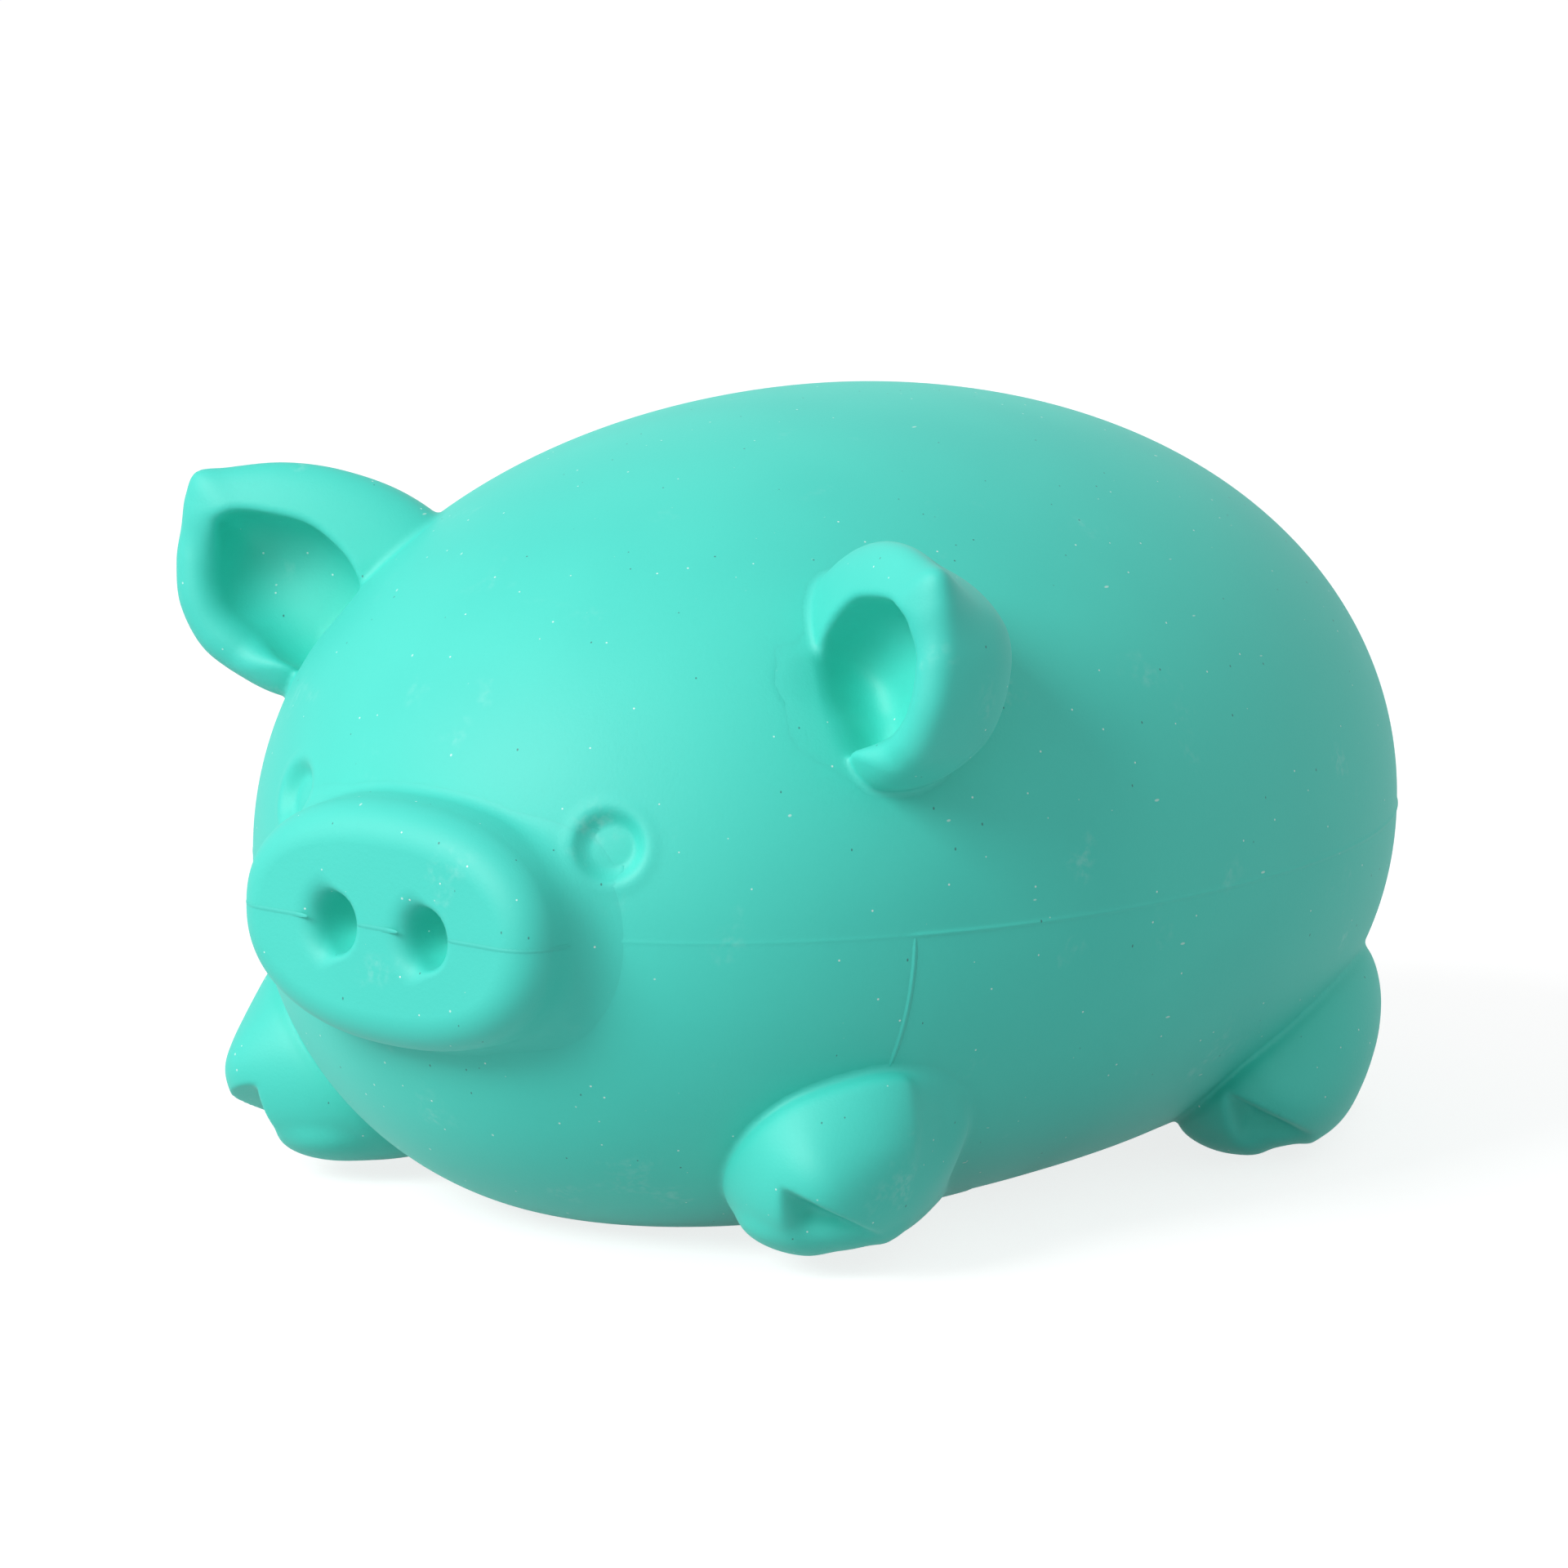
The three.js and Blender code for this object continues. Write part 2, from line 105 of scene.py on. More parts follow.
def mirrored(points, faces):
    """The mirror image in the plane x = 0, with its faces turned round so that they point outwards."""
    return np.asarray(points) * [-1, 1, 1], [list(face)[::-1] for face in faces]


# %% [markdown]
# ## The camera
# The photograph was taken from the pig's left front, a little above, from about half a metre away. A
# camera could be moved by hand until its picture looks alike. Here three angles, a distance and a lens
# were fitted to the body's outline and to the mould's parting line, because numbers can be measured and
# improved one by one.

# %% Camera
CAMERA_AZIMUTH, CAMERA_ELEVATION, CAMERA_ROLL = 37.19, 10.987, 0.725  # degrees
CAMERA_DISTANCE = 527.0
CAMERA_LENS, SENSOR_WIDTH = 180.09, 36
AIM_HEIGHT = 30  # of a point over the middle of the belly
CAMERA_AIM = (-3.16, -5.09)  # how far right and up of that point the camera aims


def camera_axes():
    """The camera's right, up and back directions, turned round the object, tipped up and rolled."""
    azimuth, elevation, roll = np.radians([CAMERA_AZIMUTH, CAMERA_ELEVATION, CAMERA_ROLL])
    level = np.cos(elevation)
    back = np.array([np.sin(azimuth) * level, -np.cos(azimuth) * level, np.sin(elevation)])
    right = np.array([np.cos(azimuth), np.sin(azimuth), 0])
    up = np.cross(back, right)
    rolled_right = right * np.cos(roll) + up * np.sin(roll)
    rolled_up = up * np.cos(roll) - right * np.sin(roll)
    return rolled_right, rolled_up, back


right, up, back = camera_axes()
eye_point = right * CAMERA_AIM[0] + up * CAMERA_AIM[1] + [0, 0, AIM_HEIGHT] + back * CAMERA_DISTANCE
camera = bpy.data.objects.new("camera", bpy.data.cameras.new("camera"))
camera.data.lens = CAMERA_LENS
camera.data.sensor_width = SENSOR_WIDTH
camera.data.clip_start = 0.01
camera.data.clip_end = 50
placed = np.eye(4)
placed[:3] = np.column_stack([right, up, back, eye_point * MM])
camera.matrix_world = Matrix(placed.tolist())
bpy.context.scene.collection.objects.link(camera)
bpy.context.scene.camera = camera
print("camera at", np.round(eye_point, 1), "mm")

# %% [markdown]
# ## The rubber
# Thermoplastic rubber straight from a spark-eroded mould is matte, with a very fine grain. It picks up
# dust and talc, and a broad dull gloss makes it pale where it turns away from the eye. All this could be
# painted on an unwrapped surface, but noise in Object coordinates has the same size on every piece and
# fits any view. One Principled shader carries it: a base colour with hardly any red, so that light that
# bounces inside an ear or a nostril turns deep green, a strong but rough gloss with a trace of sheen, a
# little scattering under the surface, and noise for grain, dust and talc.

# %% Rubber material
SEA_GREEN = (0.046, 0.65, 0.54, 1)
DOUGH_WHITE = (0.78, 0.77, 0.7, 1)
TALC = (0.52, 0.84, 0.8, 1)
DUST = (0.8, 0.93, 0.9, 1)
GRIME = (0.01, 0.12, 0.11, 1)
PER_METRE = 1000.0  # cells are counted for each millimetre, and a noise scale for each metre
CLOUDS = (0.05, 2.0, 0.35, 0.7)  # cells, detail, and the values between which a cloud goes from none to full
CLOUD_TINT = (0.8, 0.94, 0.95)  # what a cloud leaves of each colour channel
TALC_PATCHES, TALC_SMUDGES, TALC_COVER = (0.16, 6.0, 0.6, 0.8), (1.6, 4.0, 0.4, 0.7), 0.3
GRAIN, GRAIN_HEIGHT = (5.0, 5.0), 0.03 * MM
SPECK_CORE = 0.55  # share of a speck's radius inside which it has its full colour
SPECKS = [  # cells for each millimetre, radius in millimetres, squeeze of each axis, cover, colour
    (0.62, 0.085, (1, 1, 1), 0.75, DUST),
    (0.45, 0.1, (1, 0.35, 1), 0.5, DUST),
    (0.6, 0.08, (1, 1, 0.6), 0.8, GRIME),
]
SOFT_FINISH = {
    "Specular IOR Level": 0.8, "Sheen Weight": 0.03, "Sheen Roughness": 0.45,
    "Subsurface Weight": 0.12, "Subsurface Radius": (0.6, 1.0, 0.9), "Subsurface Scale": 0.0012,
}


def add_node(tree, kind, values=(), **settings):
    """A shader node with its settings and input values."""
    node = tree.nodes.new(kind)
    for key, value in settings.items():
        setattr(node, key, value)
    for key, value in dict(values).items():
        node.inputs[key].default_value = value
    return node


def add_mask(tree, value, low, high):
    """0 up to low, 1 from high on, and a soft change between them. Low may lie above high."""
    limits = {"From Min": low, "From Max": high}
    node = add_node(tree, "ShaderNodeMapRange", limits, interpolation_type="SMOOTHSTEP", clamp=True)
    tree.links.new(value, node.inputs["Value"])
    return node.outputs["Result"]


def add_mix(tree, share, under, over):
    """The colour under, turned towards the colour over by a share."""
    node = add_node(tree, "ShaderNodeMix", data_type="RGBA", clamp_factor=True)
    tree.links.new(share, node.inputs["Factor"])
    for socket, colour in ((node.inputs[6], under), (node.inputs[7], over)):
        if isinstance(colour, tuple):
            socket.default_value = colour
        else:
            tree.links.new(colour, socket)
    return node.outputs[2]


def add_product(tree, first, second):
    """Two values multiplied."""
    node = add_node(tree, "ShaderNodeMath", operation="MULTIPLY")
    for socket, value in zip(node.inputs, (first, second)):
        if isinstance(value, float):
            socket.default_value = value
        else:
            tree.links.new(value, socket)
    return node.outputs[0]


def rubber(name, colour, roughness=0.62, grain=0.4):
    """Matte moulded rubber: cloudy colour, talc smudges, dust and dark specks, and a fine grain as bump."""
    material = bpy.data.materials.new(name)
    material.use_nodes = True
    tree = material.node_tree
    shader = tree.nodes["Principled BSDF"]
    shader.inputs["Roughness"].default_value = roughness
    for socket, value in SOFT_FINISH.items():
        shader.inputs[socket].default_value = value
    place = add_node(tree, "ShaderNodeTexCoord").outputs["Object"]

    def noise(cells, detail):
        """Random hills and valleys from 0 to 1, with finer ones on them as the detail grows."""
        node = add_node(tree, "ShaderNodeTexNoise", {"Scale": cells * PER_METRE, "Detail": detail})
        tree.links.new(place, node.inputs["Vector"])
        return node.outputs["Fac"]

    def clouds(cells, detail, low, high):
        """Patches where the noise is high."""
        return add_mask(tree, noise(cells, detail), low, high)

    def specks(cells, radius, squeeze):
        """Spots, one in each cell that the surface cuts near its middle, long where an axis is squeezed."""
        mapping = add_node(tree, "ShaderNodeMapping", {"Scale": squeeze, "Rotation": (0.4, 0.7, 0.2)})
        tree.links.new(place, mapping.inputs["Vector"])
        node = add_node(tree, "ShaderNodeTexVoronoi", {"Scale": cells * PER_METRE})
        tree.links.new(mapping.outputs["Vector"], node.inputs["Vector"])
        return add_mask(tree, node.outputs["Distance"], cells * radius, cells * radius * SPECK_CORE)

    cloudy = clouds(*CLOUDS)
    deep = tuple(share * channel for share, channel in zip(CLOUD_TINT, colour[:3])) + (1,)
    tone = add_mix(tree, cloudy, colour, deep)
    talc = add_product(tree, clouds(*TALC_PATCHES), clouds(*TALC_SMUDGES))
    tone = add_mix(tree, add_product(tree, talc, TALC_COVER), tone, TALC)
    for cells, radius, squeeze, cover, shade in SPECKS:
        tone = add_mix(tree, add_product(tree, specks(cells, radius, squeeze), cover), tone, shade)
    tree.links.new(tone, shader.inputs["Base Color"])
    bump = add_node(tree, "ShaderNodeBump", {"Strength": grain, "Distance": GRAIN_HEIGHT})
    tree.links.new(noise(*GRAIN), bump.inputs["Height"])
    tree.links.new(bump.outputs["Normal"], shader.inputs["Normal"])
    return material


skin_rubber = rubber("matte_sea_green_rubber", SEA_GREEN)
plug_rubber = rubber("smooth_plug_rubber", SEA_GREEN, roughness=0.42, grain=0.15)
dough = rubber("white_dough", DOUGH_WHITE, roughness=0.8, grain=0.5)
print("materials", [m.name for m in (skin_rubber, plug_rubber, dough)])

# %% [markdown]
# ## The body
# The body is an egg on its side, a little fuller in the belly than in the crown. It could be a sphere
# that's pulled about by hand, but a formula keeps every section right: at each share of the length, the
# half-width, the crown over the parting line and the belly under it have their own fullness, and the
# section is a circle drawn slightly square. The same formula tells how far any point is from the skin,
# which other forms need.

# %% The egg as a formula
BODY_LENGTH, BODY_WIDTH = 88.0, 66.8
PARTING_HEIGHT = 22.5  # floor to the widest line of the body, where the two halves of the mould met
CROWN_HEIGHT, BELLY_DEPTH = 28.9, 25.4
SQUARENESS = 2.05  # 2 is an ellipse
WIDTH_FULLNESS = (0.033, 0.053)  # growth towards the rump, and towards both ends
CROWN_FULLNESS = (0.021, 0.05)
BELLY_FULLNESS = (0.015, 0.364)
HALVINGS = 40  # leaves less than a billionth of a millimetre open


def reach(share, inset=0.0):
    """Half-width, crown and belly: each size grows with the share of the length and with its square."""
    sizes = ((BODY_WIDTH / 2, WIDTH_FULLNESS), (CROWN_HEIGHT, CROWN_FULLNESS),
             (BELLY_DEPTH, BELLY_FULLNESS))
    return [(size - inset) * (1 + rear * share + ends * share**2) for size, (rear, ends) in sizes]


def signed_power(value, power):
    """The power of the size, with the sign kept."""
    return np.sign(value) * np.abs(value) ** power


def egg(polar, angle, inset=0.0):
    """Point at a polar angle from the snout and an angle round the length: a squared circle along the length
    times a squared circle round it, each axis stretched by its reach."""
    power = 2 / SQUARENESS
    share = -signed_power(np.cos(polar), power)
    girth = signed_power(np.sin(polar), power)
    width, crown, belly = reach(share, inset)
    rise = signed_power(np.sin(angle), power)
    x = width * girth * signed_power(np.cos(angle), power)
    y = (BODY_LENGTH / 2 - inset) * share + 0 * angle
    z = PARTING_HEIGHT + np.where(rise > 0, crown, belly) * girth * rise
    return np.stack([x, y, z], -1)


def gauge(p):
    """0 on the skin and -1 at the middle: the point's length, each axis divided by its reach, minus 1."""
    share = p[..., 1] / (BODY_LENGTH / 2)
    width, crown, belly = reach(share)
    rise = p[..., 2] - PARTING_HEIGHT
    parts = np.stack([p[..., 0] / width, share, rise / np.where(rise > 0, crown, belly)], -1)
    return (np.abs(parts) ** SQUARENESS).sum(-1) ** (1 / SQUARENESS) - 1


def slope(field, p, step=0.02):
    """Direction and rate in which a field grows, from its change over a small step along each axis."""
    ways = step * np.eye(3)
    return np.stack([(field(p + way) - field(p - way)) / (2 * step) for way in ways], -1)


def body_distance(p):
    """Millimetres outside the skin, from the gauge and its slope; below 0 inside."""
    return gauge(p) / np.linalg.norm(slope(gauge, p), axis=-1)


def body_normal(p):
    """The outward direction of the skin."""
    return unit(slope(gauge, p))


def on_skin(inside, way, far=80.0):
    """Where a line from inside the egg meets the skin, found by halving the stretch that holds it."""
    near, way = np.zeros(inside.shape[:-1]), np.asarray(way, float)
    far = np.full(inside.shape[:-1], far)
    for _ in range(HALVINGS):
        middle = (near + far) / 2
        within = gauge(inside + middle[..., None] * way) < 0
        near, far = np.where(within, middle, near), np.where(within, far, middle)
    return inside + near[..., None] * way


# %% [markdown]
# ## Where an ear stands, and its hollow
# Each ear is a cupped leaf on a leaning root line. Its hollow also dips into the head, so it comes before
# the body's skin, which has to make room for it. A boolean could cut it, with an edge as hard as a
# knife's. Here it's a smooth closed curve through a few measured points in the plane of the rim, with a
# depth measured backwards from that plane, so that any point knows how far it is from the hollow's wall.

# %% An ear's place and hollow
EAR_Y, EAR_HEIGHT = -23.2, 37.6
EAR_FACING = (-0.457, -0.881, 0.121)
EAR_ROOT_LINE = (-0.534, 0.381, 0.755)
EAR_RIM = -5.5  # front of the rim, before the hinge line
EAR_HOLLOW = [
    (-0.6, 1.8), (0.5, 2.8), (2.4, 3.2), (4.8, 2.9), (7.3, 1.5), (8.9, 0.2), (9.3, -1.0), (8.7, -2.1),
    (7.7, -3.5), (6.4, -4.8), (4.6, -5.5), (1.8, -5.3), (-0.2, -4.8), (-0.5, -4.1), (-0.5, -2.6),
    (-0.8, -0.6),
]
HOLLOW_CENTRE = (3.4, -1.9)
EAR_HOLLOW_DEPTH = (3.6, 5.8)  # over the lower arm, and under the pointed corner
EAR_HOLLOW_LEAN = 0.45  # how far the hollow goes under the head for each millimetre of depth
LEAN_FADE = (4.0, 0.0)  # out from the hinge: where the lean starts, and where it's all there
FALL_UP, FALL_OUT = (-9.0, -1.0), (-1.0, 6.0)  # up and out from the hinge: where the floor falls away
FALL_SHARES = (0.8, 0.2)  # of the fall: at the head, and what is added further out
HOLLOW_POWERS = (3, 3.4, 3.2)  # of the outline's share and of the depth's share, and the root of their sum
HOLLOW_FRONT = 1.0  # how far before the rim the hollow ends


def closed_curve(corners, centre, each=24):
    """Distance from a centre to a smooth closed curve through the corners, in every direction: a Catmull-Rom
    curve, read as angle and radius."""
    c = np.array(corners, float)
    t = np.linspace(0, 1, each, endpoint=False)[:, None]
    before, start, end, after = (np.roll(c, shift, 0)[:, None] for shift in (1, 0, -1, -2))
    curve = 0.5 * (2 * start + (end - before) * t + (2 * before - 5 * start + 4 * end - after) * t**2
                   + (3 * start - before - 3 * end + after) * t**3)
    away = curve.reshape(-1, 2) - centre
    angle, radius = np.arctan2(away[:, 1], away[:, 0]), np.linalg.norm(away, axis=1)
    order = np.argsort(angle)
    return lambda direction: np.interp(direction, angle[order], radius[order], period=2 * np.pi)


def ear_axes():
    """The hinge point on the skin and three directions: outwards, backwards, and up along the root."""
    backwards = -unit(EAR_FACING)
    upwards = unit(np.array(EAR_ROOT_LINE) - np.dot(EAR_ROOT_LINE, backwards) * backwards)
    hinge = on_skin(np.array([0, EAR_Y, EAR_HEIGHT]), (1, 0, 0))
    return hinge, np.stack([np.cross(backwards, upwards), backwards, upwards])


ear_hinge, ear_turn = ear_axes()
hollow_radius = closed_curve(EAR_HOLLOW, HOLLOW_CENTRE)


def share_of(radius, centre, a, b):
    """Distance from the centre as a share of the closed curve's radius in that direction."""
    a, b = a - centre[0], b - centre[1]
    return np.hypot(a, b) / radius(np.arctan2(b, a))


def hollow_gauge(p):
    """The hollow: the share of its outline and of its depth, as a squared circle that's open to the front.
    Its floor falls away from the head and from the lower arm towards the pointed corner."""
    a, depth, b = np.moveaxis((p - ear_hinge) @ ear_turn.T, -1, 0)
    fall = smooth_step(*FALL_UP, b) * (FALL_SHARES[0] + FALL_SHARES[1] * smooth_step(*FALL_OUT, a))
    floor = EAR_HOLLOW_DEPTH[0] + (EAR_HOLLOW_DEPTH[1] - EAR_HOLLOW_DEPTH[0]) * fall
    sunk = np.maximum(depth - EAR_RIM, 0)
    lean = EAR_HOLLOW_LEAN * smooth_step(*LEAN_FADE, a)
    outline, deep, root = HOLLOW_POWERS
    power = share_of(hollow_radius, HOLLOW_CENTRE, a + lean * sunk, b) ** outline + (sunk / floor) ** deep
    return (power + 1e-9) ** (1 / root) - 1


def distance_of(measure, p):
    """About the distance to the surface of a gauge."""
    return measure(p) / np.maximum(np.linalg.norm(slope(measure, p), axis=-1), 0.02)


def hollow_reach(p):
    """About the distance to the hollow, which ends a little in front of the rim."""
    return np.maximum(distance_of(hollow_gauge, p), EAR_RIM - HOLLOW_FRONT - (p - ear_hinge) @ ear_turn[1])


print("the left ear's hinge is at", np.round(ear_hinge, 1), "mm")

# %% [markdown]
# ## The body's skin
# On the toy the eyes are two shallow round dents with a soft lip, and the parting line of the mould is a
# thin raised line all round the body at its widest height. They could be pieces laid on the body, but
# they are moulded in, so they belong to its own surface: the grid has more rings and columns where they
# lie, and its points are pushed in or out along the normal. The belly is flat, because the toy sits on
# it, with a recess for the plug.

# %% Body skin
BODY_RINGS, BODY_SIDES = 300, 316
EYE_SPACING, EYE_HEIGHT = 25.8, 28.4
EYE_FLOOR, EYE_EDGE, EYE_LIP = 1.4, 2.45, 2.72  # radii of the floor, the wall's top and the lip's crest
EYE_DEPTH, EYE_LIP_RISE, EYE_DOME = 0.8, 0.07, 0.05
EYE_LIP_SPREAD = 0.42
EYE_RINGS = dict(places=(0.43,), width=0.09, gain=2.2)  # rings crowd at the eyes, in radians from the snout
LINE_COLUMNS = dict(places=(0, np.pi), width=0.012, gain=12)  # columns crowd at the parting line
LINE_SPREAD = 0.14  # half-width of the parting line
LINE_RISE_HEAD, LINE_RISE_REAR = 0.02, 0.075
LINE_START = -26.7  # where the raised part of the line starts, over the front feet
BELLY_ROUNDING = 0.6
PLUG_Y, PLUG_SEAT_RADIUS, PLUG_SEAT_DEPTH, PLUG_SEAT_EDGE = 14.0, 4.3, 1.1, 0.4
EAR_SEAT_GAP, EAR_SEAT_LIMIT = 0.7, 2.6  # how far the skin stays from a hollow, and how deep it may sink
EAR_SEAT_TURNS = 10
EAR_SUNK, EAR_SUNK_FADE = 0.015, (1.8, 0.8)  # how deep skin and ear lie at their shared edge, and where


def crowded(count, low, high, places, width, gain):
    """Values from low to high that lie closer round some places: equal steps along the sum of a density,
    which is 1 plus a bell curve at each place."""
    fine = np.linspace(low, high, 8000)
    density = 1 + gain * sum(np.exp(-(((fine - place) / width) ** 2)) for place in places)
    total = np.concatenate([[0], np.cumsum((density[1:] + density[:-1]) / 2)])
    return np.interp(np.linspace(0, total[-1], count), total, fine)


def eye_relief(p):
    """A level floor with a slight dome, a smooth wall, and a soft lip as a bell curve round it."""
    height = np.zeros(p.shape[:-1])
    for side in (1, -1):
        middle = on_skin(np.array([side * EYE_SPACING / 2, 0, EYE_HEIGHT]), (0, -1, 0))
        away = np.linalg.norm(p - middle, axis=-1)
        height -= EYE_DEPTH * (1 - smooth_step(EYE_FLOOR, EYE_EDGE, away))
        height += EYE_DOME * np.clip(1 - (away / EYE_FLOOR) ** 2, 0, 1)
        height += EYE_LIP_RISE * np.exp(-(((away - EYE_LIP) / EYE_LIP_SPREAD) ** 2))
    return height


def ear_seat(p):
    """The skin drawn in where an ear's hollow dips below the egg, because the ear's own surface takes over
    there: each point goes inwards by its distance to the hollow's wall, over and over, until it's clear."""
    mirror = np.stack([np.abs(p[..., 0]), p[..., 1], p[..., 2]], -1)
    inwards = -body_normal(mirror)
    sunk = np.zeros(p.shape[:-1])
    for _ in range(EAR_SEAT_TURNS):
        sunk += np.maximum(EAR_SEAT_GAP - distance_of(hollow_gauge, mirror + sunk[..., None] * inwards), 0)
    near = smooth_step(*EAR_SUNK_FADE, hollow_reach(mirror))
    return -np.minimum(sunk + EAR_SUNK * near, EAR_SEAT_LIMIT)


def line_relief(p):
    """A bell curve across the parting height, low on the head and higher behind the front feet."""
    rise = LINE_RISE_HEAD + (LINE_RISE_REAR - LINE_RISE_HEAD) * (p[..., 1] > LINE_START)
    return rise * np.exp(-(((p[..., 2] - PARTING_HEIGHT) / LINE_SPREAD) ** 2))


def body_surface():
    """The egg with its reliefs along the normal, its belly bent up to the floor by a rounded maximum."""
    polar = crowded(BODY_RINGS, 0, np.pi, **EYE_RINGS)[1:-1, None]
    angle = crowded(BODY_SIDES + 1, -np.pi / 2, 1.5 * np.pi, **LINE_COLUMNS)[None, :-1]
    p = egg(polar, angle)
    p = p + (eye_relief(p) + line_relief(p) + ear_seat(p))[..., None] * body_normal(p)
    p[..., 2] = (p[..., 2] + np.hypot(p[..., 2], BELLY_ROUNDING)) / 2
    away = np.hypot(p[..., 0], p[..., 1] - PLUG_Y)
    beside = smooth_step(PLUG_SEAT_RADIUS - PLUG_SEAT_EDGE, PLUG_SEAT_RADIUS + PLUG_SEAT_EDGE, away)
    under = p[..., 2] < PARTING_HEIGHT / 2
    p[..., 2] += under * PLUG_SEAT_DEPTH * (1 - beside)
    return p


grid = body_surface()
points, faces = close_ends(grid)
body_skin = make_piece("body_skin", points, faces, skin_rubber)
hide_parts("skin_upper", "skin_lower")

# %% [markdown]
# ## Forms that melt together
# The feet, the snout and the ears swell out of the body and melt into it with a small hollow fillet. No
# grid of two parameters follows a foot whose toe hangs over the next one, and a sculpted blob can't be
# measured. So these forms are written as a field: a function that is below 0 inside the rubber and above
# 0 outside. Two fields join by a smooth minimum, and one is cut from another by a smooth maximum. The
# surface where the field is 0 is then found by surface nets: one point in each cell that the surface
# crosses, one quad for each lattice edge that it cuts, and a few Newton steps that bring every point onto
# the surface. All of it runs on whole arrays, and a ball shows how true it is.

# %% Fields and surface nets
def smooth_min(a, b, k):
    """The smaller of two values, with a parabola where they differ by less than k."""
    h = np.maximum(k - np.abs(a - b), 0) / k
    return np.minimum(a, b) - h * h * k / 4


def smooth_max(a, b, k):
    """The larger of two values, rounded off in the same way."""
    return -smooth_min(-a, -b, k)


def onto_surface(field, points, step, times):
    """Points moved to where the field is 0, by Newton steps along its slope, of half a cell at most."""
    for _ in range(times):
        growth = slope(field, points, 0.01)
        move = -(field(points) / np.maximum((growth**2).sum(-1), 1e-3))[:, None] * growth
        length = np.linalg.norm(move, axis=1, keepdims=True)
        points = points + move * np.minimum(1, 0.5 * step / np.maximum(length, 1e-9))
    return points


def relaxed(points, quads):
    """Every point moved halfway to the mean of its neighbours."""
    total, count = np.zeros_like(points), np.zeros(len(points))
    for turn in (1, -1):
        np.add.at(total, quads.ravel(), points[np.roll(quads, turn, 1)].reshape(-1, 3))
        np.add.at(count, quads.ravel(), 1)
    return np.where(count[:, None] > 0, (points + total / np.maximum(count, 1)[:, None]) / 2, points)


def level_surface(field, low, high, step):
    """Points and quads of the surface where the field is 0 inside the box from low to high."""
    axes = [np.arange(a, b + step, step) for a, b in zip(low, high)]
    lattice = np.stack(np.meshgrid(*axes, indexing="ij"), -1)
    inside = field(lattice) < 0
    cells = np.array(inside.shape) - 1
    corners = [(i, j, k) for i in (0, 1) for j in (0, 1) for k in (0, 1)]
    count = sum(inside[i:cells[0] + i, j:cells[1] + j, k:cells[2] + k].astype(int) for i, j, k in corners)
    crossed = (count > 0) & (count < 8)
    number = np.full(crossed.shape, -1)
    number[crossed] = np.arange(crossed.sum())
    points = onto_surface(field, lattice[:-1, :-1, :-1][crossed] + step / 2, step, 2)
    quads = []
    for axis in range(3):
        others = [a for a in range(3) if a != axis]
        within = np.moveaxis(inside, (axis, *others), (0, 1, 2))
        owner = np.moveaxis(number, (axis, *others), (0, 1, 2))
        i, j, k = np.nonzero((within[:-1] != within[1:])[:, 1:-1, 1:-1])
        j, k = j + 1, k + 1
        quad = np.stack([owner[i, j - 1, k - 1], owner[i, j, k - 1], owner[i, j, k], owner[i, j - 1, k]], -1)
        leaving = within[i, j, k]
        turned = leaving if axis == 1 else ~leaving
        quad[turned] = quad[turned][:, ::-1]
        quads.append(quad)
    quads = np.concatenate(quads)
    points = onto_surface(field, relaxed(points, quads), step, 2)
    return onto_surface(field, relaxed(points, quads), step, 1), quads


def grown_from_body(form, p, fillet, margin, sunk=0.06, relief=None, cover=None):
    """A form joined to the body by a fillet, and trimmed a margin away from it, where its edge has sunk a
    little into the skin: there the body's own surface takes over. It can cover more than the form itself."""
    body = body_distance(p) - (relief(p) if relief else 0)
    joined = smooth_min(form, body, fillet)
    beyond = form if cover is None else cover
    away = np.clip(beyond / margin, 0, 1)
    return np.maximum(joined + sunk * away**2, beyond - margin)


BALL_RADIUS = 5.0
ball, _ = level_surface(lambda p: np.linalg.norm(p, axis=-1) - BALL_RADIUS, [-6] * 3, [6] * 3, 0.5)
error = np.abs(np.linalg.norm(ball, axis=1) - BALL_RADIUS).max()
print("a ball of", BALL_RADIUS, "mm in cells of 0.5 mm is at most", round(error, 6), "mm off")

# %% [markdown]
# ## The snout
# A button nose: an oval disc with a rounded rim, a flat face with two blind nostrils, and a small fillet
# where it leaves the head. A scaled cylinder with booleans would do for the disc, but not for a fillet
# that's wider at the sides, or for nostrils with one soft lip. As a field it's an oval and a face plane
# joined by a round edge, less two ellipsoids.

# %% Snout
SNOUT_WIDTH, SNOUT_HEIGHT, SNOUT_LENGTH = 24.6, 15.8, 3.1
SNOUT_DROP = 0.1  # below the parting line
SNOUT_RIM = 2.6
SNOUT_FLARE, SNOUT_FLARE_LENGTH = 0.07, 8  # growth for each millimetre behind the rim, and how far it goes
SNOUT_FILLET = (0.6, 2.2)  # over and under the snout, and at its sides
SNOUT_SIDE = (6, 12)  # from the middle: where the fillet starts to widen, and where it's at its widest
SNOUT_MARGIN, SNOUT_END = 2.0, -34  # how far the piece covers the head, and where it ends in any case
NOSTRIL_SPACING, NOSTRIL_DEPTH = 7.4, 3.7
NOSTRIL_HALF = (1.85, 2.05)
NOSTRIL_AHEAD, NOSTRIL_DROP = 0.4, 0.2  # its middle before the face and under the parting line
NOSTRIL_LIP = (0.45, 1.5)  # rounding of the edge, crisp at the toy's left and soft at its right
LIP_CHANGE = (0.6, -1.4)  # from a nostril's middle: where the lip starts to soften, and where it's soft
SNOUT_STEP = 0.2
SNOUT_FACE = -(BODY_LENGTH / 2 + SNOUT_LENGTH)


